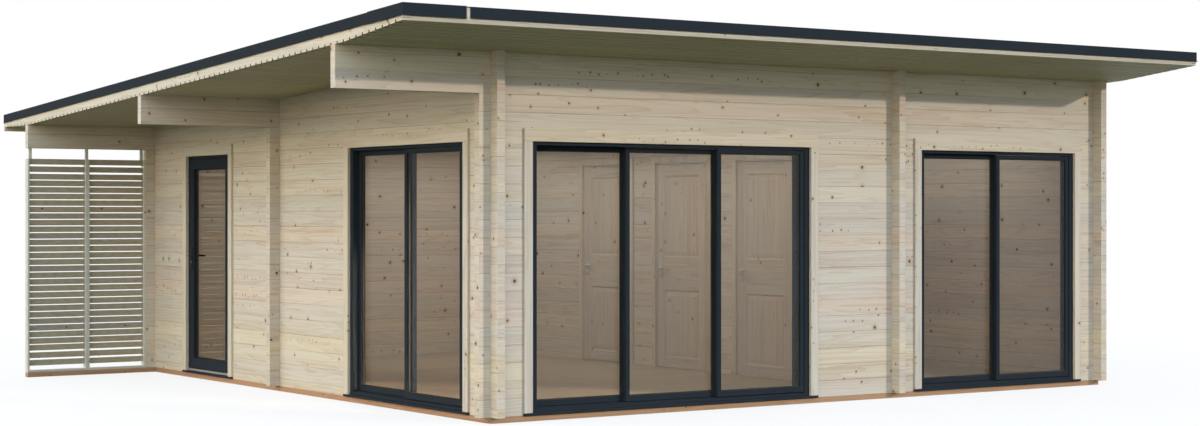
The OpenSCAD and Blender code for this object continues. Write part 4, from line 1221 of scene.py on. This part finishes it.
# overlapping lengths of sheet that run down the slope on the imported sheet, with a sealed seam at each lap
def coverRoof():
    inner = roof["trimFlange"]
    x0, x1, y0, y1 = roofLow.x + inner, roofHigh.x - inner, roofLow.y + inner, roofHigh.y - inner
    count = int((x1 - x0) / sheeting["pitch"])
    pitch = (x1 - x0) / count
    thick, lap = sheeting["thick"], sheeting["lap"]
    sheet = ((0, 0), (pitch, 0), (pitch, thick), (lap, thick), (lap - sheeting["lapEase"], thick * 2),
             (0, thick * 2))
    seam = [(lap + past, above) for past, above in sheeting["seam"]]
    for name, key, section in (("roofSheets", "membrane", sheet), ("roofSeams", "rubber", seam)):
        bm = bmesh.new()
        stackOutlines(bm, [[Vector((x, y, topAt(y) - topAt(y0) + z)) for x, z in section] for y in (y0, y1)])
        mesh = runTree(name, finishedMesh(bm, name + "Length"), evenRow, {
            "Count": count, "Start": (x0, 0, topAt(y0)), "Step": (pitch, 0, 0), "Material": finish[key]})
        place(name, mesh, [key], "house")
    covering = frame["nodes"]["roof_covering"].data.materials
    covering.clear()
    covering.append(finish["membrane"])


def screwTrims():
    half = 0.5 * roof["trimFlange"]
    x0, x1, y0, y1 = roofLow.x + half, roofHigh.x - half, roofLow.y + half, roofHigh.y - half
    nx, ny = int((x1 - x0) / screws["pitch"]), int((y1 - y0) / screws["pitch"])
    stepX, stepY = (x1 - x0) / nx, (y1 - y0) / ny
    rows = []
    for (x, y), (dx, dy), count in (((x0, y0), (stepX, 0), nx), ((x1, y0), (0, stepY), ny),
                                    ((x1, y1), (-stepX, 0), nx), ((x0, y1), (0, -stepY), ny)):
        bm = bmesh.new()
        tubeAlong(bm, [Vector((0, 0, z)) for z in screws["heights"]],
                  [screws["radius"] * share for share in screws["radii"]], screws["sides"])
        rows.append(runTree("screws", finishedMesh(bm, "screwHead"), evenRow, {
            "Count": count, "Start": (x, y, topAt(y) + roof["trimThick"]),
            "Step": (dx, dy, -roof["slope"] * dy), "Turn": math.tau, "Material": finish["steel"]}))
    place("trimScrews", joinMeshes("trimScrews", rows), ["steel"], "house")


coverRoof()
screwTrims()
print("roof finished")

# floor, light and camera
studio = {"floorSize": 300.0, "floorColour": (0.88, 0.88, 0.88, 1), "floorWhite": 0.80,
          "floorRoughness": 0.95, "ground": (0.05, 0.06, 0.022, 1), "white": 1.0,
          "sunPower": 1.70, "sunAngle": 1.4, "sunWay": (-0.65, 1.0, -0.355), "sunColour": (1.0, 0.852, 0.69)}
# the sky's light from each side, and the heights between which one colour turns into the next
sky = {"front": (0.50, 0.67, 0.87, 1), "frontHigh": (0.55, 1.15, 1.95, 1), "left": (3.93, 3.57, 2.90, 1),
       "leftHigh": (2.95, 3.25, 3.50, 1), "back": (0.95, 0.90, 0.80, 1), "top": (0.75, 0.85, 1.0, 1),
       "frontRise": (0.22, 0.50), "frontTop": (0.55, 0.95), "leftRise": (0.12, 0.50), "leftTop": (0.35, 0.90),
       "backTop": (0.2, 0.9), "backToFront": (0.15, -0.15), "aheadToLeft": (0.1, -0.9)}


# 1 where the camera, a gloss or a pane looks, and 0 where only light falls
def seenDirectly(tree):
    path = addNode(tree, "ShaderNodeLightPath").outputs
    seen = maths(tree, "MAXIMUM", path["Is Camera Ray"], path["Is Glossy Ray"])
    return maths(tree, "MAXIMUM", seen, path["Is Transmission Ray"])


def makeFloor():
    half = studio["floorSize"] / 2
    corners = [(*corner, 0) for corner in cornersOf((-half, -half, half, half), 0)]
    mesh = bpy.data.meshes.new("groundPlane")
    mesh.from_pydata(corners, [], [(0, 1, 2, 3)])
    floor = bpy.data.objects.new("groundPlane", mesh)
    scene.collection.objects.link(floor)
    material, tree, shader, output = startMaterial("paleGround")
    seen = seenDirectly(tree)
    feed(tree, shader.inputs["Base Color"], blend(tree, seen, studio["ground"], studio["floorColour"]))
    shader.inputs["Roughness"].default_value = studio["floorRoughness"]
    shader.inputs["Specular IOR Level"].default_value = 0.0
    glow = addNode(tree, "ShaderNodeEmission", {"Color": (1, 1, 1, 1), "Strength": studio["white"]})
    mixed = addNode(tree, "ShaderNodeMixShader", {
        0: times(tree, seen, studio["floorWhite"]), 1: shader.outputs[0], 2: glow.outputs[0]})
    tree.links.new(mixed.outputs[0], output.inputs["Surface"])
    mesh.materials.append(material)


def makeSky():
    world = bpy.data.worlds.new("studioSky")
    scene.world = world
    world.use_nodes = True
    tree = world.node_tree
    tree.nodes.clear()
    x, y, z = split(tree, addNode(tree, "ShaderNodeTexCoord").outputs["Generated"])
    front = blend(tree, fade(tree, z, *sky["frontRise"]), sky["front"], sky["frontHigh"])
    front = blend(tree, fade(tree, z, *sky["frontTop"]), front, sky["top"])
    back = blend(tree, fade(tree, z, *sky["backTop"]), sky["back"], sky["top"])
    left = blend(tree, fade(tree, z, *sky["leftRise"]), sky["left"], sky["leftHigh"])
    left = blend(tree, fade(tree, z, *sky["leftTop"]), left, sky["top"])
    ahead = blend(tree, fade(tree, y, *sky["backToFront"]), back, front)
    around = blend(tree, fade(tree, x, *sky["aheadToLeft"]), ahead, left)
    light = addNode(tree, "ShaderNodeBackground", {"Color": around, "Strength": 1.0})
    white = addNode(tree, "ShaderNodeBackground", {"Color": (1, 1, 1, 1), "Strength": studio["white"]})
    mixed = addNode(tree, "ShaderNodeMixShader", {
        0: seenDirectly(tree), 1: light.outputs[0], 2: white.outputs[0]})
    addNode(tree, "ShaderNodeOutputWorld", {"Surface": mixed.outputs[0]})


def makeSun():
    lamp = bpy.data.lights.new("lowSun", "SUN")
    lamp.energy = studio["sunPower"]
    lamp.angle = math.radians(studio["sunAngle"])
    lamp.color = studio["sunColour"]
    sun = bpy.data.objects.new("lowSun", lamp)
    sun.rotation_euler = Vector(studio["sunWay"]).to_track_quat("-Z", "Y").to_euler()
    scene.collection.objects.link(sun)


cameraAt = {"place": (-11.0708, -16.7732, 1.5805), "turn": -34.2809, "lens": 64.30, "sensor": 36.0,
            "reach": 500.0}


def makeCamera():
    lens = bpy.data.cameras.new("sideView")
    lens.lens = cameraAt["lens"]
    lens.sensor_width = cameraAt["sensor"]
    lens.clip_end = cameraAt["reach"]
    camera = bpy.data.objects.new("sideView", lens)
    camera.location = cameraAt["place"]
    camera.rotation_euler = (math.radians(90), 0, math.radians(cameraAt["turn"]))
    scene.collection.objects.link(camera)
    scene.camera = camera


# a strip of soft light under the ceiling along each wall that shows through the glass
room = {"left": wallLeft + log["thick"], "front": wallFront + log["thick"], "back": low("back_wall").y,
        "partition": low("partition_piers").x, "right": high("right_wall").x - log["thick"],
        "lampHeight": high("partition_piers").z + 0.15, "spread": 0.85, "colour": (1.0, 0.98, 0.94)}
roomLights = {
    "mainRoomLight": {"along": 1, "wall": "partition", "away": 0.90, "wide": 1.2, "power": 28.5},
    "sideRoomLight": {"along": 1, "wall": "right", "away": 0.42, "wide": 0.4, "power": 11.0},
    "backWallLight": {"along": 0, "wall": "back", "away": 0.85, "wide": 0.5, "power": 10.0},
}


def lightRooms():
    spans = [(room["left"], room["partition"]), (room["front"], room["back"])]
    for name, given in roomLights.items():
        along = given["along"]
        first, last = spans[along]
        sizes = [given["wide"], given["wide"]]
        sizes[along] = (last - first) * room["spread"]
        lamp = bpy.data.lights.new(name, "AREA")
        lamp.shape = "RECTANGLE"
        lamp.size, lamp.size_y = sizes
        lamp.energy = given["power"]
        lamp.color = room["colour"]
        light = bpy.data.objects.new(name, lamp)
        light.location[along] = (first + last) / 2
        light.location[1 - along] = room[given["wall"]] - given["away"]
        light.location.z = room["lampHeight"]
        light.visible_camera = light.visible_glossy = light.visible_transmission = False
        scene.collection.objects.link(light)


makeFloor()
makeSky()
makeSun()
lightRooms()
makeCamera()
scene.view_settings.view_transform = "Standard"
print("studio set")
